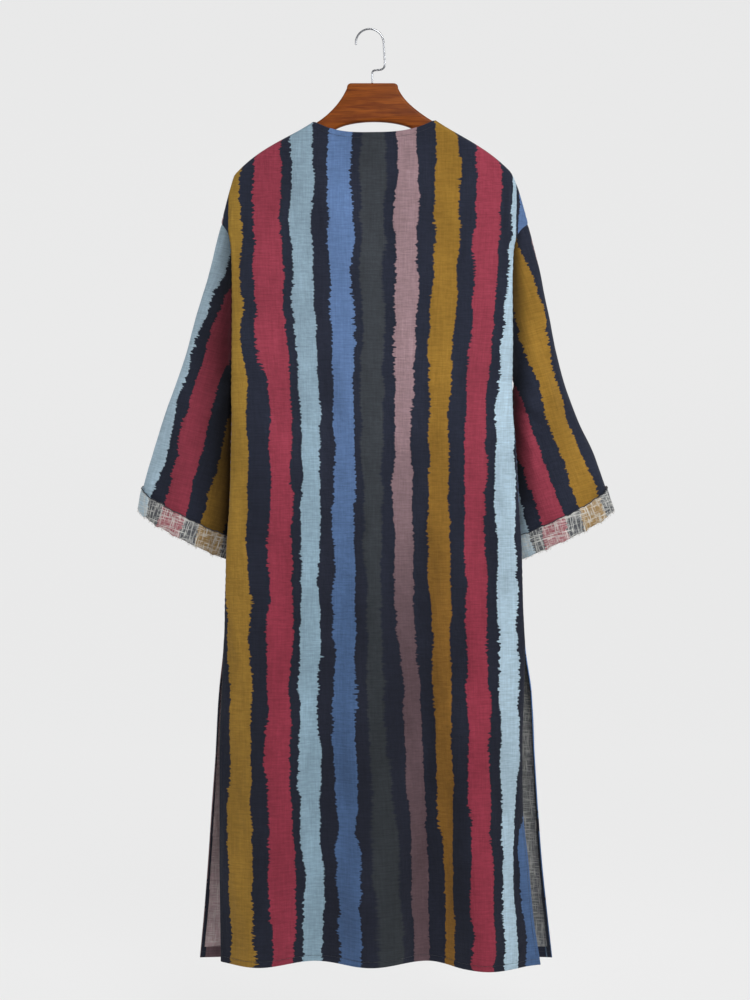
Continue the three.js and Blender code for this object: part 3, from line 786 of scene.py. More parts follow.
def alongLine(points, normals, pitch):
    # Evenly spaced places on a line, with its direction and the cloth's own facing.
    steps = np.linalg.norm(np.diff(points, axis=0), axis=1)
    run = np.concatenate([[0], np.cumsum(steps)])
    at = np.arange(pitch / 2, run[-1], pitch)

    def read(values, where):
        return np.stack([np.interp(where, run, values[:, k]) for k in range(3)], axis=1)

    along = read(points, np.minimum(at + 1, run[-1])) - read(points, np.maximum(at - 1, 0))
    return read(points, at), along, read(normals, at)


stitch = {"length": 2.6, "lift": 0.55, "radius": 0.24, "spread": 0.06, "steps": 4, "seed": 3, "pitch": 3.2,
          "clear": 0.05}


def topstitch(name, lines, thickness):
    # The same row of stitches shows on both faces of the turned edge.
    rows = []
    for points, normals in lines:
        for lift, sign in ((stitch["clear"], 1), (-thickness - stitch["clear"], -1)):
            rows.append(alongLine(points + normals * lift, normals * sign, stitch["pitch"]))
    place, along, facing = (np.concatenate(part) for part in zip(*rows))
    return layThreads(name, place, along, facing, navyThread, stitch)


# Front and back panels

# How far the back's stripes hang off their place at the shoulder: sideways drift, a bulge right of the
# middle, how much closer the folds draw them, a tuck, and how far side seams and drop shoulders pull them in
stripeHang = tableOf("down drift bulge spread tuck left right leftDrop rightDrop", [
    [145, 0, 0, 1.0, 0, 0, 0, 20, 30],
    [272, 0, 0, 1.0, 0, 0, 0, 36, 52],
    [335, 0, 0, 1.02, 0, 4, 0, 38, 56],
    [432, 0, 0, 1.05, 0, 9, 0, 0, 0],
    [560, 0, 0, 1.12, 0, 16, 0, 0, 0],
    [672, 0.5, 0, 1.16, 0, 19, 0, 0, 0],
    [816, 1, 0, 1.155, 0, 20, 0, 0, 0],
    [1072, 1, 14, 1.135, 2, 5, 0, 0, 0],
    [1200, 3, 21, 1.13, 5, 7, 12, 0, 0],
    [1328, 6, 26, 1.128, 8, 9, 36, 0, 0],
    [1456, 9, 28, 1.125, 7, 11, 20, 0, 0],
])
hangPlace = {
    "bulgeX": 55, "bulgeWidth": 50, "tuckX": 121, "tuckWidth": 9, "leftX": 165, "leftRun": 30,
    "rightX": 212, "rightRun": 22, "leftDropX": 227, "leftDropRun": 5, "rightDropX": 223, "rightDropRun": 12,
}
frontStripes = {"leftEdge": 428, "rightEdge": -36}  # where the front's own cloth is cut, across its stripes
# Painted shade: the slits' turned-in edges show navy cloth, chosen so that they read as dark as the shade on
# them
slitTurn = {"left": 440, "right": -143}  # navy shows where the slits' edges are turned in
# Painted light: within the slits the front's cloth is coloured lighter near its cut edges, least at the hem;
# the cut edges stand off the back there
slitLight = {"gain": 0.8, "reach": 55, "fade": 30, "hemDown": 1450, "run": 330}

# Soft troughs (negative) and ridges. x and down are millimetres on the garment, as its back is seen.
creaseColumns = "x down toX toDown width height bow"
backCreases = rowsOf(creaseColumns, [
    (-206, 250, -150, 470, 15, 2.0, 8),
    (204, 256, 158, 450, 14, 1.8, -7),
    (217, 228, 216, 335, 3.2, 3.0, 0),
    (224, 232, 222, 420, 3.0, -2.4, 3),
    (210, 236, 207, 360, 4.0, -1.6, 1),
    (222, 330, 219, 555, 5.0, 1.8, 3),
    (-224, 285, -226, 320, 3.0, 2.2, 0),
    (-70, 205, 72, 203, 16, -1.2, 10),
    (-214, 560, -120, 700, 18, 1.8, 6),
    (-216, 600, -160, 860, 14, -1.6, 9),
    (212, 566, 128, 720, 17, 1.9, -8),
    (214, 620, 176, 880, 13, -1.7, -7),
    (-46, 700, -52, 1560, 20, -4.5, 5),
    (62, 560, 84, 1560, 24, -5.5, -4),
    (116, 1150, 120, 1560, 9, -3.2, 2),
    (104, 900, 102, 1560, 8, 1.6, 3),
    (94, 560, 100, 980, 12, -1.6, 5),
    (150, 640, 140, 1180, 14, -1.6, 6),
    (-130, 420, -104, 940, 16, 1.7, -6),
    (-8, 500, 12, 1100, 12, 1.5, 4),
    (-228, 1000, -214, 1460, 11, 1.8, 3),
    (216, 990, 236, 1470, 12, 1.8, -4),
])
frontCreases = rowsOf(creaseColumns, [
    (-200, 260, -120, 500, 15, 1.8, 7),
    (205, 258, 130, 480, 15, 1.7, -9),
    (-210, 570, -130, 760, 17, 1.8, 6),
    (208, 560, 120, 740, 18, 1.7, -6),
    (-75, 380, -95, 1200, 15, 1.9, 6),
    (80, 420, 95, 1300, 14, 1.8, -5),
    (-20, 620, -30, 1380, 14, -1.9, 5),
    (-240, 1010, -250, 1460, 12, 1.6, 3),
    (250, 1010, 262, 1470, 12, 1.5, -4),
])

# How the rows crowd at the shoulders, and how ripples and creases calm down towards a panel's edges
panelRows = {"crowding": 1.7, "lastStep": 1.5}
calm = {"top": 40, "side": 12, "hem": 25, "atHem": 0.4,
        "narrowTop": 12, "narrowSide": 5, "narrow": 8, "seam": 20}
# Where turned cloth shows inside: the front neck's edge slopes, and the slits' turning is navy, as painted
# shade, and aslant
turning = {"neckSlope": {"back": 1, "front": 0.55}, "far": 1000, "past": 2, "aslant": 0.3}


def panelLines():
    even = np.arcsin(np.linspace(0, 1, cloth["columnsToNeck"] + 1)) / (math.pi / 2)
    inner = garment["neckShare"] * even
    outer = np.linspace(garment["neckShare"], 1, cloth["columnsOutside"] + 1)[1:]
    half = np.concatenate([inner, outer])
    columns = np.concatenate([-half[:0:-1], half])
    upper = np.linspace(0, 1, cloth["armholeRows"] + 1) ** panelRows["crowding"]
    lower = np.linspace(garment["underarmDown"], garment["lastRow"], cloth["skirtRows"] + 1)[1:]
    hemStep = garment["lastRow"] - cloth["hemDepth"]
    extra = [hemStep, hemStep + cloth["stepWidth"], garment["lastRow"] - panelRows["lastStep"]]
    return columns, upper, np.concatenate([upper, np.unique(np.concatenate([lower, extra]))])


def fromMiddle(steps, middle):
    # Running sum of the steps along each row, counted from its middle column.
    run = np.concatenate([np.zeros((len(steps), 1)), np.cumsum(steps, axis=1)], axis=1)
    return run - run[:, middle:middle + 1]


def backAcross(flat, middle):
    # Place across the stripes: as they hang in the middle, and along the cloth where it turns at its side.
    x, down = flat[..., 0], -flat[..., 2]
    hang = {name: valueAt(stripeHang, "down", name, down) for name in stripeHang if name != "down"}
    at = hangPlace
    bulge = hang["bulge"] * np.exp(-((x - at["bulgeX"]) / at["bulgeWidth"]) ** 2)
    fromTuck = (x - at["tuckX"]) / at["tuckWidth"]
    place = (x - hang["drift"] - bulge) * hang["spread"]
    place = place + hang["tuck"] * fromTuck * np.exp(0.5 - 0.5 * fromTuck ** 2)
    place = place + hang["left"] * smooth((-x - at["leftX"]) / at["leftRun"])
    place = place + hang["right"] * smooth((x - at["rightX"]) / at["rightRun"])
    place = place - hang["leftDrop"] * smooth((-x - at["leftDropX"]) / at["leftDropRun"])
    place = place + hang["rightDrop"] * smooth((x - at["rightDropX"]) / at["rightDropRun"])
    steps = np.hypot(np.diff(place, axis=1), np.diff(flat[..., 1], axis=1))
    return place[:, middle:middle + 1] + fromMiddle(steps, middle)


def frontAcross(flat, middle):
    # The front's stripes run down its cut edges; between them the cloth's width is shared out.
    steps = np.hypot(np.diff(flat[..., 0], axis=1), np.diff(flat[..., 1], axis=1))
    run = fromMiddle(steps, 0)
    fromRight = frontStripes["rightEdge"] + run
    fromLeft = frontStripes["leftEdge"] - (run[:, -1:] - run)
    return lerp(fromRight, fromLeft, smooth(run / run[:, -1:]))


def makePanel(name, face, creases, seed):
    columns, _, rows = panelLines()
    middle = len(columns) // 2
    grid = panelGrid(face, columns, rows)
    flat = panelGrid(face, columns, rows, folded=False)
    u = backAcross(flat, middle) if face == "back" else frontAcross(flat, middle)
    v = -grid[..., 2]
    length = fromMiddle(np.linalg.norm(np.diff(grid, axis=1), axis=-1), middle)
    fromLeft, fromRight = length - length[:, :1], length[:, -1:] - length
    fromSide = np.minimum(fromLeft, fromRight)
    fromTop = v - v[:1]
    fromHem = garment["lastRow"] - np.maximum(rows, garment["underarmDown"])[:, None] + 0 * u
    isSlit = rows[:, None] > garment["slitTopDown"]
    normal = gridNormals(grid)
    fade = smooth(fromTop / calm["top"]) * smooth(fromSide / calm["side"])
    fade = fade * smooth(fromHem / calm["hem"] + calm["atHem"])
    sharp = smooth(fromTop / calm["narrowTop"]) * smooth(fromSide / calm["narrowSide"])
    narrow = [crease for crease in creases if crease["width"] < calm["narrow"]]
    wide = [crease for crease in creases if crease["width"] >= calm["narrow"]]
    lift = (creaseHeight(wide, grid[..., 0], v) + ripple(u, v, seed)) * fade
    lift = lift + creaseHeight(narrow, grid[..., 0], v) * sharp
    seamEnd = smooth((garment["slitTopDown"] - v) / calm["seam"])
    lift = lift + np.where(isSlit, 0, seamShape(fromSide, v, seed) * seamEnd)
    grid = grid + normal * lift[..., None]
    normal = gridNormals(grid)
    uv = np.stack([u, v], axis=-1)
    # Turned edges are double, and show the cloth's right side within.
    inNeck = np.abs(columns)[None, :] <= garment["neckShare"]
    fromNeck = np.where(inNeck, fromTop * turning["neckSlope"][face], turning["far"])
    nearSlit = isSlit & (fromSide < cloth["slitHemDepth"])
    turned = (fromHem < cloth["hemDepth"]) | nearSlit | (fromNeck < cloth["neckHemDepth"])
    thickness = np.where(turned, cloth["hemThickness"], cloth["thickness"])
    inner = grid - normal * thickness[..., None]
    inside = np.where(turned[:-1, :-1] & turned[1:, 1:], 0, 1)
    isLeft = (length > 0) if face == "front" else (length < 0)
    navy = np.where(isLeft, slitTurn["left"], slitTurn["right"])
    inSlitTurn = isSlit & (fromSide < cloth["slitHemDepth"] + turning["past"])
    turnedUv = np.stack([np.where(inSlitTurn, navy + turning["aslant"] * fromSide, u), v], axis=-1)
    # Painted shade grows from about the knee down to the hem
    paintedHemShade = smooth((v - paintedHemShadeDown["from"]) / (paintedHemShadeDown["to"] - paintedHemShadeDown["from"]))
    marks = {"paintedHemShade": paintedHemShade}
    if face == "front":
        # Painted light: lighter colour near the front's cut edges within the slits, fading towards the hem
        nearEdge = smooth((slitLight["reach"] - fromSide) / slitLight["fade"])
        above = smooth((slitLight["hemDown"] - v) / slitLight["run"])
        marks["paintedShadeAndLight"] = -slitLight["gain"] * isSlit * nearEdge * above
    piece = clothShell(name, grid, inner, uv, [rightSide, wrongSide], inside, turnedUv, marks)
    print(name, "made")
    return {"piece": piece, "grid": grid, "normal": normal, "rows": rows, "columns": columns,
            "fromLeft": fromLeft, "fromRight": fromRight, "fromTop": fromTop, "fromHem": fromHem}


def lineAt(panel, distance, depth, places):
    # A line at one distance from the panel's side, top or hem. places are the rows or columns it crosses.
    points, normals = [], []
    for place in places:
        at = panel[distance][place]
        order = np.argsort(at)
        for line, source in ((points, panel["grid"][place]), (normals, panel["normal"][place])):
            line.append([np.interp(depth, at[order], source[order, k]) for k in range(3)])
    return np.array(points), np.array(normals)


# Stitch lines, in millimetres from the edge, and how far they keep clear of the corners
seamLines = {"hem": 8.6, "slit": 5.5, "backNeck": 8, "frontNeck": 14,
             "clear": 3, "lastRows": 4, "slitClear": 4, "neckClear": 0.02}


def stitchPanel(name, panel, face):
    columns = panel["columns"]
    neck = np.flatnonzero(np.abs(columns) < garment["neckShare"] - seamLines["neckClear"])
    hem = range(seamLines["clear"], len(columns) - seamLines["clear"])
    firstSlitRow = int(np.searchsorted(panel["rows"], garment["slitTopDown"] + seamLines["slitClear"]))
    slit = range(firstSlitRow, len(panel["rows"]) - seamLines["lastRows"])
    lines = [
        lineAt(panel, "fromHem", seamLines["hem"], [(slice(None), i) for i in hem]),
        lineAt(panel, "fromTop", seamLines[face + "Neck"], [(slice(None), i) for i in neck]),
        lineAt(panel, "fromLeft", seamLines["slit"], slit),
        lineAt(panel, "fromRight", seamLines["slit"], slit),
    ]
    return topstitch(name, lines, cloth["hemThickness"])


backPanel = makePanel("backPanelCloth", "back", backCreases, 1.0)
frontPanel = makePanel("frontPanelCloth", "front", frontCreases, 2.6)
backStitches = stitchPanel("backTopstitching", backPanel, "back")
frontStitches = stitchPanel("frontTopstitching", frontPanel, "front")


# Sleeves and cuffs

sleeves = {
    # Painted shade on each sleeve: how far the darkening reaches from the body, and how much darker the whole
    # sleeve is painted
    "left": {"stripeStart": 256, "stripeWay": -1, "stripeOut": -9, "dim": 0.16, "paintedShadeAndLight": 75, "seed": 3.3},
    "right": {"stripeStart": 73, "stripeWay": 1, "stripeOut": 9, "dim": 0.0, "paintedShadeAndLight": 36, "seed": 4.4},
    "stripeOutDown": {"from": 400, "run": 110, "until": 600, "fade": 150},
    "firstRows": [0, 0.04, 0.1],
    "evenRows": (0.2, 10),
    "calm": {"armhole": 1.2, "end": 1.5, "seam": 10, "armholeSeam": 6},
    "creaseGrowth": 1.5,
    "paintedShadeAndLight": {"from": 226, "dark": 0.8, "narrow": 0.4, "down": 311, "run": 220},
}
# x is the distance round the sleeve from its outer line
sleeveCreases = {
    "left": rowsOf(creaseColumns, [
        (150, 520, 60, 640, 13, 2.0, 5),
        (120, 470, 110, 760, 14, 1.8, 6),
        (30, 400, 46, 640, 10, -1.4, 4),
        (90, 340, 70, 470, 9, 1.5, 4),
        (170, 640, 120, 700, 10, -1.6, 4),
    ]),
    "right": rowsOf(creaseColumns, [
        (160, 540, 40, 640, 12, 2.2, 6),
        (140, 480, 70, 560, 11, 1.9, 4),
        (100, 600, 130, 790, 14, 1.8, 6),
        (60, 330, 84, 470, 9, 1.6, 5),
        (36, 430, 28, 700, 10, -1.5, 4),
    ]),
}


# The turned-back cloth stands off the sleeve, waves, and frays at its ends. Sizes are millimetres.
cuffs = {
    "start": 8, "gap": 0.6, "thickness": 1.2, "puff": 1.1, "puffLoss": 0.6, "crown": 0.8, "paintedShadeAndLight": 0.5,
    "wave": {"height": 0.5, "length": 7.0, "lean": 3, "small": 0.6, "smallLength": 3.1, "phase": 1.0},
    "waveLeast": 0.35,
    "ragged": {"height": 1.3, "length": 5.3, "small": 0.9, "smallLength": 2.2, "phase": 1.7},
    "raggedEdge": {"share": 0.3, "top": 0.6},
}


def sleeveCloth(side, grid):
    # Distance round the sleeve from its outer line, square to the stripes, and along it.
    lean = math.radians(garment["sleeveLean"])
    sign = -1 if side == "left" else 1
    x, z = sign * grid[..., 0], grid[..., 2]
    outX = valueAt(sleeveSections, "outerDown", "outer" + side.capitalize(), -z)
    past = np.maximum(-z - sleeveSections["outerDown"][-1], 0) * math.tan(lean)
    square = (outX + past - x) * math.cos(lean)
    y = grid[..., 1]
    if side == "right":
        square, y = square[:, ::-1], y[:, ::-1]
    run = fromMiddle(np.hypot(np.diff(square, axis=1), np.diff(y, axis=1)), 0)
    total = run[:, -1:] + np.hypot(square[:, :1] - square[:, -1:], y[:, :1] - y[:, -1:])
    count = grid.shape[1] // 2
    around = np.where(np.arange(grid.shape[1])[None, :] <= count, run, run - total)
    if side == "right":
        around = around[:, ::-1]
    along = -z * math.cos(lean) + x * math.sin(lean)
    return around, along


def makeSleeve(side):
    _, upper, _ = panelLines()
    places = np.concatenate([sleeves["firstRows"], np.linspace(*sleeves["evenRows"], cloth["sleeveRows"])])
    grid = sleeveGrid(side, upper, places)
    around, along = sleeveCloth(side, grid)
    # The loop starts at the underarm, so that its seam is the open edge, where the stripes don't match.
    count = grid.shape[1] // 2
    shift = -count if side == "left" else -(grid.shape[1] - 1 - count)
    grid, around, along = (np.roll(part, shift, axis=1) for part in (grid, around, along))
    grid = np.concatenate([grid, grid[:, :1]], axis=1)
    along = np.concatenate([along, along[:, :1]], axis=1)
    edge = np.abs(around[:, :1]) * (-1 if side == "left" else 1)
    around = np.concatenate([edge, around[:, 1:], -edge], axis=1)
    look = sleeves[side]
    normal = gridNormals(grid)
    ease = sleeves["calm"]
    fade = smooth(places / ease["armhole"]) * smooth((places[-1] - places) / ease["end"])
    beside = np.abs(np.abs(around) - np.abs(edge))
    fromArmhole = (-grid[..., 2]) - (-grid[:1, :, 2])
    lift = creaseHeight(sleeveCreases[side], np.abs(around), -grid[..., 2]) * sleeves["creaseGrowth"]
    lift = lift + ripple(around, along, look["seed"])
    lift = lift * fade[:, None] * smooth(beside / ease["seam"])
    lift = lift + seamShape(beside, along, look["seed"]) * smooth(places)[:, None]
    lift = lift + seamShape(fromArmhole, around, look["seed"] + 1) * smooth(beside / ease["armholeSeam"])
    grid = grid + normal * lift[..., None]
    inner = grid - normal * cloth["thickness"]
    place = sleeves["stripeOutDown"]
    out = look["stripeOut"] * smooth((along - place["from"]) / place["run"])
    out = out * (1 - smooth((along - place["until"]) / place["fade"]))
    uv = np.stack([look["stripeStart"] + out + look["stripeWay"] * around, along], axis=-1)
    inside = np.ones((grid.shape[0] - 1, grid.shape[1] - 1), int)
    # Painted shade: the sleeve is coloured darker where it lies against the body, narrower towards the
    # armhole, and the left sleeve a little darker all over
    paintedShadeAndLight = sleeves["paintedShadeAndLight"]
    reach = look["paintedShadeAndLight"] * lerp(paintedShadeAndLight["narrow"], 1, smooth((-grid[..., 2] - paintedShadeAndLight["down"]) / paintedShadeAndLight["run"]))
    dark = lerp(paintedShadeAndLight["dark"], look["dim"], smooth((np.abs(grid[..., 0]) - paintedShadeAndLight["from"]) / reach))
    piece = clothShell(side + "SleeveCloth", grid, inner, uv, [rightSide, wrongSide], inside, None,
                       {"paintedShadeAndLight": dark})
    first = int(np.argmin(np.abs(places - cuffs["start"])))
    print(side, "sleeve made")
    return {"piece": piece, "grid": grid, "normal": normal, "uv": uv, "first": first, "paintedShadeAndLight": dark}


def makeCuff(side, sleeve):
    first = sleeve["first"]
    base, out, uv = sleeve["grid"][first:], sleeve["normal"][first:], sleeve["uv"][first:]
    share = np.linspace(0, 1, len(base))[:, None]
    u = uv[..., 0]
    # The cloth stands off most along its free top edge.
    wave, ragged, edge = cuffs["wave"], cuffs["ragged"], cuffs["raggedEdge"]
    waves = np.sin(u / wave["length"] + wave["lean"] * share)
    waves = waves + wave["small"] * np.sin(u / wave["smallLength"] + wave["phase"])
    lift = cuffs["gap"] + cuffs["thickness"] + cuffs["puff"] * (1 - share * cuffs["puffLoss"])
    lift = lift + wave["height"] * waves * lerp(1, cuffs["waveLeast"], share)
    lift = lift + cuffs["crown"] * np.sin(share * math.pi)
    outer = base + out * lift[..., None]
    jags = ragged["height"] * np.sin(u / ragged["length"])
    jags = jags + ragged["small"] * np.sin(u / ragged["smallLength"] + ragged["phase"])
    outer[..., 2] -= jags * smooth((share - 1 + edge["share"]) / edge["share"])
    outer[..., 2] += edge["top"] * jags * smooth((edge["share"] - share) / edge["share"])
    inner = outer - out * cuffs["thickness"]
    inside = np.zeros((base.shape[0] - 1, base.shape[1] - 1), int)
    # Painted shade: the cuff takes half the sleeve's painted darkening next to the body
    paintedShadeAndLight = sleeve["paintedShadeAndLight"][first:] * cuffs["paintedShadeAndLight"]
    piece = clothShell(side + "CuffCloth", outer, inner, uv, [cuffSide], inside, None, {"paintedShadeAndLight": paintedShadeAndLight})
    print(side, "cuff made")
    return {"piece": piece, "grid": outer, "normal": out}


fray = {"length": 4.4, "lift": 1.0, "radius": 0.17, "spread": 0.6, "steps": 5, "seed": 5, "pitch": 1.7,
        "lean": 0.45, "rise": 0.15, "riseSpread": 0.2, "showing": 0.2}
# Painted shadow: sizes of the dark thread that draws the shadow line along each cuff's top
shadowLineThread = {"length": 3.8, "lift": 0.5, "radius": 0.75, "spread": 0.12, "steps": 4, "seed": 8, "pitch": 2.9}


def frayEdge(name, cuff):
    # Loose thread ends that stand out of the cuff's raw lower edge, each leaning its own way.
    rng = np.random.default_rng(fray["seed"])
    place, along, facing = alongLine(cuff["grid"][-1], cuff["normal"][-1], fray["pitch"])
    down = cuff["grid"][-1] - cuff["grid"][-3]
    downLine = np.stack([np.interp(np.linspace(0, 1, len(place)), np.linspace(0, 1, len(down)), down[:, k])
                         for k in range(3)], axis=1)
    downLine /= np.linalg.norm(downLine, axis=1, keepdims=True)
    side = along / np.linalg.norm(along, axis=1, keepdims=True)
    lean = rng.normal(0, fray["lean"], (len(place), 1))
    run = downLine + side * lean + facing * rng.normal(fray["rise"], fray["riseSpread"], (len(place), 1))
    run /= np.linalg.norm(run, axis=1, keepdims=True)
    place = place + run * fray["length"] * fray["showing"] - facing * cuffs["thickness"] / 2
    turn = rng.uniform(0, 2 * math.pi, (len(place), 1))
    across = np.cross(run, facing)
    return layThreads(name, place, run, facing * np.cos(turn) + across * np.sin(turn), undyedThread, fray)


def shadowLineEdge(name, cuff):
    # Painted shadow: a row of dark navy thread along the cuff's raw top edge, where a shadow line falls
    # between sleeve and cuff.
    place, along, facing = alongLine(cuff["grid"][0], cuff["normal"][0], shadowLineThread["pitch"])
    return layThreads(name, place, along, facing, navyThread, shadowLineThread)


leftSleeve = makeSleeve("left")
rightSleeve = makeSleeve("right")
leftCuff = makeCuff("left", leftSleeve)
rightCuff = makeCuff("right", rightSleeve)
fraysAndShadowLines = {side: [frayEdge(side + "CuffFray", cuff), shadowLineEdge(side + "CuffShadowLine", cuff)]
         for side, cuff in (("left", leftCuff), ("right", rightCuff))}


# Hanger and hook

hanger = {
    "half": 6,
    "bevel": 4,
    "bevelSteps": 5,
    "drop": 5.3,
    "topDown": 85.5,
    "topHalf": 41,
    "corner": 8,
    "neckX": 86,
    "flare": {"outX": 7, "down": 24.5, "nearX": 62},
    "armEndX": 200,
    "armDepth": 21,
    "armTip": {"outX": 9, "down": 8, "underX": 2},
    "arch": {"leftX": -60, "rightX": 66, "down": 160, "leftTopX": -34, "rightTopX": 40, "topDown": 143},
    "steps": {"top": 5, "corner": 7, "flare": 18, "arm": 14, "tip": 10, "under": 12, "arch": 22},
    "sharpest": 0.6,
    "mergeRounds": 4,
    "mergeWithin": 0.02,
    "sharpAngle": 40,
}


def bezier(points, steps):
    t = np.linspace(0, 1, steps + 1)[:, None]
    level = [np.array(p, float)[None, :] * np.ones_like(t) for p in points]
    while len(level) > 1:
        level = [a + (b - a) * t for a, b in zip(level, level[1:])]
    return level[0]


def hangerOutline():
    slope = (shoulderLine["rightDown"][1] - shoulderLine["rightDown"][0]) / (
        shoulderLine["rightX"][1] - shoulderLine["rightX"][0])
    top, half, neckX, endX = -hanger["topDown"], hanger["topHalf"], hanger["neckX"], hanger["armEndX"]
    corner, flare, tip, arch = hanger["corner"], hanger["flare"], hanger["armTip"], hanger["arch"]
    steps = hanger["steps"]
    level = {side: [-(float(ridgeDown(side, np.array(float(x)))) + hanger["drop"]) for x in (neckX, endX)]
             for side in ("left", "right")}

    def armRuns(side, sign):
        # From the top corner out along one arm and back to the arch's foot.
        neck, end = level[side]
        foot = arch[side + "X"]
        under = end - hanger["armDepth"]
        return [
            bezier([(0, top), (sign * (half - corner), top)], steps["top"]),
            bezier([(sign * (half - corner), top), (sign * half, top), (sign * half, top - corner)],
                   steps["corner"]),
            bezier([(sign * half, top - corner), (sign * (half + flare["outX"]), top - flare["down"]),
                    (sign * flare["nearX"], neck + (neckX - flare["nearX"]) * slope),
                    (sign * neckX, neck)], steps["flare"]),
            bezier([(sign * neckX, neck), (sign * endX, end)], steps["arm"]),
            bezier([(sign * endX, end), (sign * (endX + tip["outX"]), end - tip["down"]),
                    (sign * (endX + tip["underX"]), under)], steps["tip"]),
            bezier([(sign * (endX + tip["underX"]), under), (foot, -arch["down"])], steps["under"]),
        ]

    right, left = armRuns("right", 1), armRuns("left", -1)
    archLine = bezier([(arch["rightX"], -arch["down"]), (arch["rightTopX"], -arch["topDown"]),
                       (arch["leftTopX"], -arch["topDown"]), (arch["leftX"], -arch["down"])],
                      steps["arch"])
    runs = right + [archLine] + [run[::-1] for run in left[::-1]]
    return np.concatenate([run[:-1] for run in runs])


def insetRing(outline, inset):
    # Each point moves in square to its two edges; where they would cross, the nearer of two points is kept.
    before, after = np.roll(outline, 1, axis=0), np.roll(outline, -1, axis=0)
    one = (outline - before) / np.linalg.norm(outline - before, axis=1, keepdims=True)
    two = (after - outline) / np.linalg.norm(after - outline, axis=1, keepdims=True)
    tangent = one + two
    tangent /= np.linalg.norm(tangent, axis=1, keepdims=True)
    inward = np.stack([tangent[:, 1], -tangent[:, 0]], axis=1)
    stretch = 1 / np.clip((one * tangent).sum(axis=1, keepdims=True), hanger["sharpest"], 1)
    ring = outline + inward * inset * stretch
    for _ in range(hanger["mergeRounds"]):
        crossed = ((np.roll(ring, -1, axis=0) - ring) * two).sum(axis=1) < 0
        for k in np.flatnonzero(crossed):
            following = (k + 1) % len(ring)
            ring[k] = ring[following] = (ring[k] + ring[following]) / 2
    return ring


def makeHanger():
    outline = hangerOutline()
    half, bevel = hanger["half"], hanger["bevel"]
    angles = np.linspace(0, math.pi / 2, hanger["bevelSteps"] + 1)
    layers = [(-(half - bevel) - bevel * math.cos(a), bevel * (1 - math.sin(a))) for a in angles]
    layers += [(-y, inset) for y, inset in reversed(layers)]
    count = len(outline)
    points, faces = [], []
    for y, inset in layers:
        ring = insetRing(outline, inset)
        points.append(np.stack([ring[:, 0], np.full(count, y), ring[:, 1]], axis=1))
    index = np.arange(count)
    following = np.roll(index, -1)
    for k in range(len(layers) - 1):
        faces += np.stack([index + k * count, index + (k + 1) * count, following + (k + 1) * count,
                           following + k * count], axis=-1).tolist()
    faces.append(index[::-1].tolist())
    faces.append((index + (len(layers) - 1) * count).tolist())
    mesh = bpy.data.meshes.new("hangerWood")
    mesh.from_pydata(((np.concatenate(points) + [garmentX, 0, 0]) * mm).tolist(), [], faces)
    work = bmesh.new()
    work.from_mesh(mesh)
    bmesh.ops.remove_doubles(work, verts=work.verts, dist=hanger["mergeWithin"] * mm)
    caps = [face for face in work.faces if len(face.verts) > 4]
    bmesh.ops.triangulate(work, faces=caps, ngon_method="EAR_CLIP")
    bmesh.ops.recalc_face_normals(work, faces=work.faces)
    work.to_mesh(mesh)
    work.free()
    mesh.materials.append(varnishedHardwood())
    mesh.polygons.foreach_set("use_smooth", np.ones(len(mesh.polygons), bool))
    mesh.set_sharp_from_angle(angle=math.radians(hanger["sharpAngle"]))
    piece = linked("hangerWood", mesh)
    print("hanger made")
    return piece


hook = {"wireRadius": 1.6, "arcRadius": 22.2, "tipAngle": 188, "arcSteps": 40, "stemEnd": 99.2}
hookRun = [(18.9, -41), (19.9, -54), (18.8, -60.5), (14, -63.9), (5, -64.3), (1, -65.2), (-0.8, -69),
           (-0.5, -78), (0, -90), (0, -hook["stemEnd"])]


def makeHook():
    arcX, arcZ = -garmentX, -(hook["arcRadius"] - hook["wireRadius"])
    angles = np.radians(np.linspace(hook["tipAngle"], 0, hook["arcSteps"] + 1))
    path = [(arcX + hook["arcRadius"] * math.cos(a), arcZ + hook["arcRadius"] * math.sin(a)) for a in angles]
    curve = bpy.data.curves.new("hookLine", "CURVE")
    curve.dimensions = "3D"
    curve.bevel_depth = hook["wireRadius"] * mm
    curve.bevel_resolution = 4
    curve.use_fill_caps = True
    spline = curve.splines.new("NURBS")
    spline.points.add(len(path + hookRun) - 1)
    for point, (x, z) in zip(spline.points, path + hookRun):
        point.co = ((x + garmentX) * mm, 0, z * mm, 1)
    spline.use_endpoint_u = True
    spline.order_u = 3
    spline.resolution_u = 4
    source = linked("hookCurve", curve)
    piece = plainMesh(source, "hookWire", platedWire())
    return piece


hangerPiece = makeHanger()
hookPiece = makeHook()

standIns = [
    (backPanel["piece"], "back_panel"), (frontPanel["piece"], "front_panel"),
    (leftSleeve["piece"], "sleeve_left"), (rightSleeve["piece"], "sleeve_right"),
    (leftCuff["piece"], "cuff_left"), (rightCuff["piece"], "cuff_right"),
    (hangerPiece, "hanger_body"), (hookPiece, "hanger_hook"),
]
for piece, node in standIns:
    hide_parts(node)
    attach(piece, "root")
for piece in [backStitches, frontStitches] + fraysAndShadowLines["left"] + fraysAndShadowLines["right"]:
    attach(piece, "root")


# Camera, light and stage

camera = {"distance": 3.5, "x": 0.0085, "z": -0.752, "height": 1.6, "sensor": 36.0}
lights = rowsOf("name place aim size power spread", [
    ("keyLight", (0.8, -2.7, 1.5), (0.05, 0, -0.62), 1.3, 12.5, 75),
    ("rightLight", (2.7, -1.7, 0.2), (0.32, 0, -0.8), 1.3, 4.2, 50),
    ("leftLight", (-2.7, -1.7, 0.2), (-0.32, 0, -0.9), 1.3, 3.0, 50),
])
ambient = {"colour": (0.95, 0.97, 1.0, 1), "strength": 0.2}
stage = {"floorDown": 1.62, "width": 14, "front": -0.6, "bend": 4.0, "back": 5.5, "wallHeight": 6,
         "colour": "#606060", "glow": "#e8e8e8", "glowStrength": 0.955}


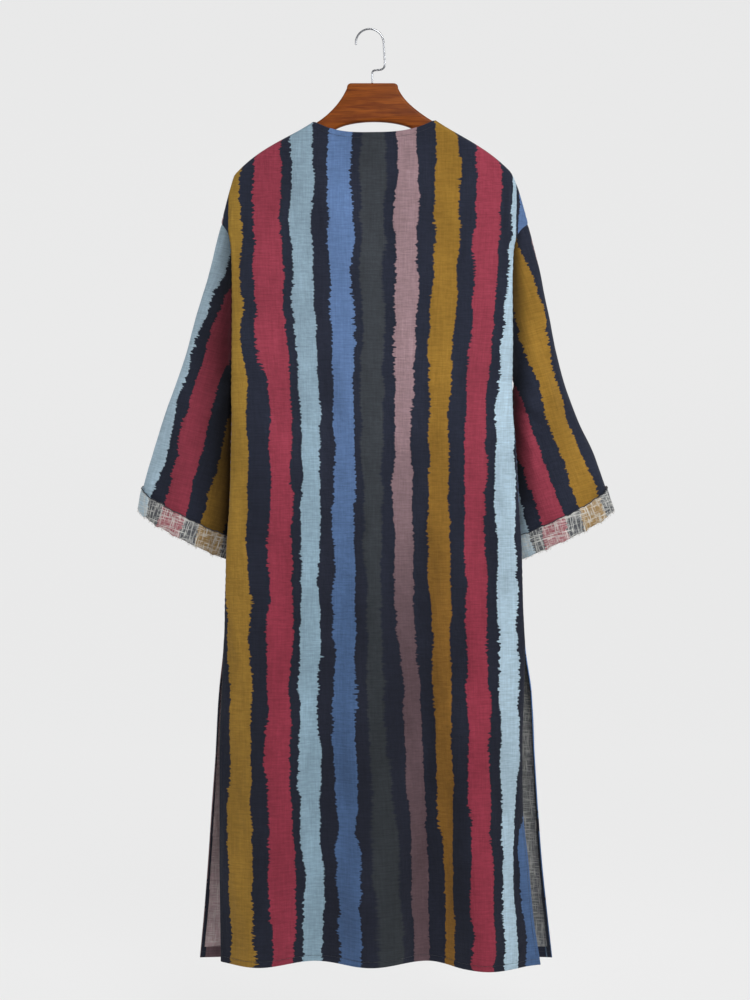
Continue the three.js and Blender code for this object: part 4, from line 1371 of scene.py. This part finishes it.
def makeCamera():
    data = bpy.data.cameras.new("camera")
    data.sensor_width = camera["sensor"]
    data.lens = camera["sensor"] * camera["distance"] / camera["height"]
    data.clip_end = 100
    made = linked("camera", data)
    made.location = (camera["x"], -camera["distance"], camera["z"])
    made.rotation_euler = (math.pi / 2, 0, 0)
    bpy.context.scene.camera = made


def makeLights():
    for light in lights:
        data = bpy.data.lights.new(light["name"], "AREA")
        data.energy = light["power"]
        data.size = light["size"]
        data.spread = math.radians(light["spread"])
        made = linked(light["name"], data)
        made.location = light["place"]
        made.rotation_euler = (made.location - Vector(light["aim"])).to_track_quat("Z", "Y").to_euler()
    world = bpy.data.worlds.new("studio")
    world.use_nodes = True
    background = world.node_tree.nodes["Background"]
    background.inputs[0].default_value = ambient["colour"]
    background.inputs[1].default_value = ambient["strength"]
    bpy.context.scene.world = world
    bpy.context.scene.view_settings.view_transform = "Standard"


def makeStage():
    # One sheet that glows evenly, as a translucent sheet lit from behind would, and runs from the floor up in
    # a wide curve.
    steps = 24
    radius = stage["back"] - stage["bend"]
    profile = [(stage["front"], 0.0), (stage["bend"], 0.0)]
    profile += [(stage["bend"] + radius * math.sin(a), radius * (1 - math.cos(a)))
                for a in np.linspace(0, math.pi / 2, steps + 1)[1:]]
    profile.append((stage["back"], stage["wallHeight"]))
    half = stage["width"] / 2
    points = [(x, y, z - stage["floorDown"]) for y, z in profile for x in (-half, half)]
    faces = [(2 * k, 2 * k + 1, 2 * k + 3, 2 * k + 2) for k in range(len(profile) - 1)]
    mesh = bpy.data.meshes.new("floor")
    mesh.from_pydata(points, [], faces)
    mesh.polygons.foreach_set("use_smooth", np.ones(len(faces), bool))
    material, tree = newMaterial("paperBackdrop")
    finishMaterial(tree, {"Base Color": toLinear(stage["colour"]), "Roughness": 1.0,
                          "Specular IOR Level": 0.0, "Emission Color": toLinear(stage["glow"]),
                          "Emission Strength": stage["glowStrength"]})
    mesh.materials.append(material)
    linked("floor", mesh)


makeCamera()
makeLights()
makeStage()
print("stage made")

bpy.context.view_layer.update()
